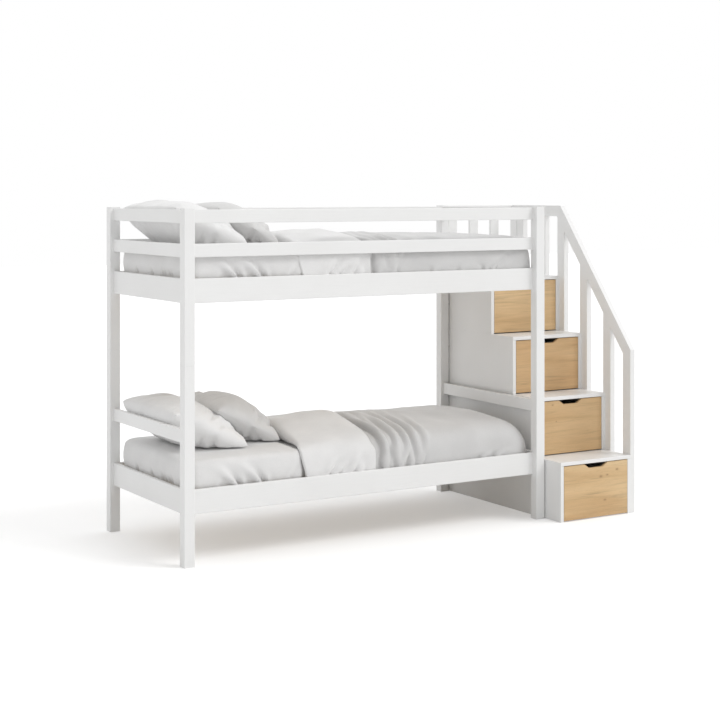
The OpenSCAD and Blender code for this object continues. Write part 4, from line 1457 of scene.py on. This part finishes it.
@dataclass(frozen=True)
class Bedding:
    """Mattress, duvet and pillows of one bed."""

    level: Level
    duvet: Duvet
    sunk: float = 0.0
    crown: float = 0.0095
    pillow_tone: Colour = (0.86, 0.857, 0.853)
    shaded_tone: Colour = (0.70, 0.695, 0.688)
    sheet_tone: Colour = (0.80, 0.795, 0.79)
    band_tone: Colour = (0.82, 0.815, 0.81)
    body_tone: Colour = (0.66, 0.655, 0.65)
    ticking_tone: Colour = (0.62, 0.60, 0.56)

    def build(self) -> None:
        """Makes the bed's soft pieces, and hides the plain solids that they stand for."""
        name = self.level.value
        sheet = self.cotton("sheet_cotton", self.sheet_tone, 0.0005)
        ticking = self.cotton("mattress_ticking", self.ticking_tone, 0.0009)
        mattress = Mattress(self.level).build(sheet, ticking)
        self.finish(mattress, "sheet", 0.95, f"mattress_{name}")
        band = self.duvet.build_band(self.cotton("duvet_lining", self.band_tone, 0.0008))
        body = self.duvet.build_body(self.cotton("duvet_cotton", self.body_tone, 0.0008))
        for piece in (band, body):
            self.finish(piece, "duvet", 0.35, f"duvet_{name}")
        bed_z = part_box(f"mattress_{name}")[1].z
        top, rise = bed_z + self.crown, bed_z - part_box("mattress_lower")[1].z
        leaning = Pillow(
            f"pillow_at_head_{name}", (-0.858, 0.499 + rise), (-1.247, 0.681 + rise),
            -0.205, 0.468, top, 1.0, HEAD_DENTS, 0.024 - self.sunk, under=1.4, fullness=0.56,
        ).build(self.cotton("pillow_cotton", self.pillow_tone, 0.0007))
        second = Pillow(
            f"pillow_in_front_{name}", (-0.643, 0.501 + rise), (-0.98, 0.684 + rise),
            -0.125, 0.510, top, 6.0, SECOND_DENTS, 0.022 - self.sunk, 0.106 - self.sunk, 0.06,
        ).build(self.cotton("second_pillow_cotton", self.shaded_tone, 0.0007))
        lay_against(second, leaning, 0.0012)
        for pillow in (leaning, second):
            self.finish(pillow, "pillow", 0.7, f"pillows_{name}")

    def cotton(self, kind: str, tone: Colour, crease: float) -> bpy.types.Material:
        """Makes a cotton of this bed's own."""
        return Cloth(f"{kind}_{self.level.value}", tone, crease).build()

    @staticmethod
    def finish(piece: bpy.types.Object, slot: str, fill: float, node: str) -> None:
        """Ties a soft piece to the bed's body, and hides the solid that it stands for.

        Args:
            piece: The piece.
            slot: Not used.
            fill: Not used.
            node: The solid that it stands for.
        """
        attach(piece, ROOT_BODY)
        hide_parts(node)
        LOG.info("%s: %d faces", piece.name, len(piece.data.polygons))


HEAD_DENTS = table(
    Dent, (0.13, -0.27, 0.3, 0.060, 0.012, 0.018), (0.10, -0.22, -0.35, 0.050, 0.011, 0.014),
    (0.06, -0.30, 0.9, 0.055, 0.012, 0.016), (0.00, -0.28, 1.2, 0.055, 0.012, 0.013),
    (-0.13, 0.12, -0.4, 0.08, 0.018, 0.009), (0.15, -0.05, -0.1, 0.05, 0.012, 0.012),
)
SECOND_DENTS = table(
    Dent, (0.13, -0.27, 0.5, 0.055, 0.012, 0.019), (0.09, -0.25, -0.2, 0.060, 0.013, 0.017),
    (0.05, -0.28, 1.1, 0.060, 0.013, 0.015), (0.14, 0.00, 0.2, 0.06, 0.014, 0.010),
    (-0.10, 0.16, 0.9, 0.09, 0.020, 0.009),
)
LOWER_FOLDS = table(
    Fold, (-0.180, -0.172, 0.012, 0.025, 0.2), (-0.140, -0.110, 0.009, 0.013, 0.8),
    (-0.095, -0.105, 0.013, 0.027, 0.35), (-0.040, -0.010, 0.011, 0.020, 0.75),
    (0.004, 0.060, 0.014, 0.023, 0.5), (0.080, 0.15, 0.015, 0.013, 0.9), (0.40, 0.37, 0.05, 0.003),
)
UPPER_FOLDS = table(
    Fold, (-0.228, -0.200, 0.013, 0.013), (-0.165, -0.15, 0.011, 0.010),
    (-0.118, -0.10, 0.014, 0.016), (-0.075, -0.05, 0.013, 0.014), (0.02, 0.04, 0.03, 0.005),
    (0.20, 0.19, 0.04, 0.004),
)
UPPER_CREASES = table(
    Crease, (-0.235, 0.1, 0.06, 0.011, -0.010), (-0.125, 0.35, 0.20, 0.013, 0.008),
    (0.445, 1.0, 0.055, 0.014, 0.013), (0.487, 0.9, 0.060, 0.013, 0.010),
    (0.425, -0.6, 0.025, 0.012, -0.010), (0.10, 0.1, 0.020, 0.011, -0.008),
    (0.27, 0.1, 0.020, 0.012, -0.007),
)
LOWER_DUVET = Duvet(Level.LOWER, 1.0, LOWER_FOLDS)
UPPER_DUVET = Duvet(
    Level.UPPER, 21.0, UPPER_FOLDS, bulge=0.0, hem_x=-0.265, hem_side=0.012, fold_side=0.090,
    body=replace(BODY, start_x=-0.38, edge_z=0.514, crown=0.034, foot_edge_z=0.516,
                 foot_crown=0.012, creases=UPPER_CREASES),
    band=replace(BAND, edge_z=0.522, crown=0.044, foot_edge_z=0.522, foot_crown=0.040),
    foot_turn=0.055,
)


# ---- Rigid parts ----

# For each drawer from the lowest to the highest, how much its front's colours are scaled, and its
# knots
DRAWERS: tuple[tuple[Colour, tuple[Knot, ...]], ...] = (
    ((1.05, 1.08, 1.11), table(
        Knot, (1.060, 0.221, 0.011), (1.104, 0.226, 0.008), (1.171, 0.250, 0.010),
        (1.088, 0.092, 0.010))),
    ((0.91, 0.88, 0.845), table(
        Knot, (0.755, 0.590, 0.006), (0.905, 0.592, 0.007), (0.93, 0.50, 0.005))),
    ((0.945, 0.905, 0.875), table(
        Knot, (0.493, 0.820, 0.006), (0.62, 0.812, 0.007), (0.56, 0.905, 0.004))),
    ((1.03, 1.045, 1.07), table(
        Knot, (0.362, 1.074, 0.009), (0.400, 1.068, 0.008), (0.487, 1.079, 0.009),
        (0.442, 1.058, 0.006))),
)


def dress(finish: Finish, *names: str) -> None:
    """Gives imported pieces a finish, in place of their plain colour.

    Args:
        finish: The finish.
        *names: The pieces' names.
    """
    material = finish.build()
    for name in names:
        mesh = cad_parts[name].data
        mesh.materials.clear()
        mesh.materials.append(material)
        LOG.info("%s: %s", name, material.name)


def dress_bed() -> None:
    """Gives posts, rails, slatted bases and their fasteners their finishes."""
    dress(Lacquer("lacquer_upright", Grain.UPRIGHT), *(
        f"post_{end}_{side}_{half}"
        for end in ("head", "foot") for side in ("front", "back") for half in ("lower", "upper")
    ))
    dress(Lacquer("lacquer_along", Grain.ALONG),
          "front_bed_rail_lower", "front_bed_rail_upper", "front_guard_rail_mid",
          "front_guard_rail_top", "back_bed_rails", "back_guard_rails")
    dress(Lacquer("lacquer_across", Grain.ACROSS),
          "end_bed_rails", "head_guard_rails", "foot_guard_rails")
    dress(Softwood("pine_across", Grain.ACROSS), "bed_slats")
    dress(Softwood("pine_along", Grain.ALONG), "slat_cleats")
    dress(Softwood("beech", Grain.ALONG, (0.66, 0.49, 0.31), (0.56, 0.39, 0.22)), "wood_dowels")
    dress(Cloth("slat_tape", (0.78, 0.77, 0.73), 0.0004, 900.0), "slat_tapes")
    dress(Zinc("zinc_fasteners"), "post_joint_pins", "cleat_screws")
    dress(Board("enamelled_connectors", (0.84, 0.84, 0.83), (0.81, 0.81, 0.80)),
          "rail_connectors")


def dress_stairs() -> None:
    """Gives the stair carcass, its drawers and its balustrade their finishes."""
    dress(Lacquer("lacquer_boards", Grain.ALONG),
          "tread_board_first", "tread_board_second", "deck_board", "platform_board",
          "floor_stretchers", "back_guard_rail")
    dress(Lacquer("lacquer_panels", Grain.UPRIGHT),
          "stair_panel_inner_lower", "stair_panel_outer_lower", "stair_panel_inner_upper",
          "stair_panel_outer_upper", "stair_back_panels", "newel_post", "stair_balusters",
          "back_guard_balusters")
    dress(Lacquer("lacquer_handrails", Grain.ACROSS), "handrail_sloped", "handrail_level")
    dress(Zinc("zinc_slides"), "slide_channels", "unit_bolts")
    numbers = range(1, len(DRAWERS) + 1)
    dress(Board("drawer_board"), *(f"drawer_{number}_tray" for number in numbers))
    dress(Zinc("zinc_drawer"), *(f"drawer_{number}_fittings" for number in numbers))
    for number, (tint, knots) in zip(numbers, DRAWERS):
        dress(Oak(f"oak_front_{number}", 3.7 * number, knots, tint), f"drawer_{number}_front")


# ---- Studio ----


@dataclass(frozen=True)
class Studio:
    """Floor, lights and camera."""

    eye: tuple[float, float, float] = (-4.24765, -7.30399, 1.74744)
    heading: float = 33.29
    lens: float = 78.97
    sensor: float = 36.0
    shift: tuple[float, float] = (-0.1439, -0.2305)
    sight: float = 200.0
    sky: float = 0.70
    backdrop: float = 0.50
    backdrop_from: tuple[float, float, float] = (0.6, 0.8, 0.0)
    sun_from: tuple[float, float, float] = (0.50, -0.55, 0.72)
    sun_width: float = 28.0
    sun_strength: float = 1.1
    floor_size: float = 60.0

    def build(self) -> None:
        """Makes the floor, the lights and the camera."""
        self.lay_floor()
        self.light()
        self.aim()
        bpy.context.scene.view_settings.view_transform = "Standard"

    def lay_floor(self) -> None:
        """Lays a wide pale floor."""
        half = self.floor_size / 2
        corners = np.array([(-half, -half, 0), (half, -half, 0), (half, half, 0), (-half, half, 0)])
        make_object("floor", corners, [(0, 1, 2, 3)], Ground("pale_floor").build())

    def light(self) -> None:
        """Lights the bed from all round, more from the backdrop and most from the front right."""
        world = bpy.data.worlds.new("soft_white")
        bpy.context.scene.world = world
        sky = Graph(world, "OutputWorld")
        # The backdrop behind the bed is lit, so more light comes from there
        place = sky.add("TexCoord").outputs["Generated"]
        facing = sky.add("VectorMath", place, self.backdrop_from, operation="DOT_PRODUCT")
        behind = sky.add("Math", facing.outputs["Value"], 0.0, operation="MAXIMUM").outputs[0]
        level = sky.add("Math", behind, self.backdrop, self.sky, operation="MULTIPLY_ADD")
        soft = sky.add("Background", WHITE, level.outputs[0]).outputs[0]
        shown = sky.add("Background", WHITE, 1.0).outputs[0]
        mix = sky.add("MixShader", sky.seen(), soft, shown).outputs[0]
        sky.feed(sky.output.inputs[0], mix)
        lamp = bpy.data.lights.new("key", "SUN")
        lamp.energy, lamp.angle = self.sun_strength, math.radians(self.sun_width)
        key = bpy.data.objects.new("key", lamp)
        key.rotation_euler = (-Vector(self.sun_from)).to_track_quat("-Z", "Y").to_euler()
        bpy.context.scene.collection.objects.link(key)

    def aim(self) -> None:
        """Places the level camera."""
        data = bpy.data.cameras.new("camera")
        data.lens, data.sensor_width = self.lens, self.sensor
        data.shift_x, data.shift_y = self.shift
        data.clip_end = self.sight
        camera = bpy.data.objects.new("camera", data)
        camera.location = self.eye
        camera.rotation_euler = (math.radians(90), 0.0, -math.radians(self.heading))
        bpy.context.scene.collection.objects.link(camera)
        bpy.context.scene.camera = camera


def corners(bounds: tuple[Vector, Vector]) -> list[list[float]]:
    """A box's corners as plain lists."""
    return [list(map(float, corner)) for corner in bounds]


def main() -> None:
    """Builds the whole scene, piece by piece."""
    logging.basicConfig(level=logging.INFO, format="%(name)s: %(message)s")
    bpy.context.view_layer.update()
    Studio().build()
    dress_bed()
    dress_stairs()
    Bedding(Level.LOWER, LOWER_DUVET).build()
    Bedding(Level.UPPER, UPPER_DUVET, sunk=0.010).build()


if __name__ == "__main__":
    main()
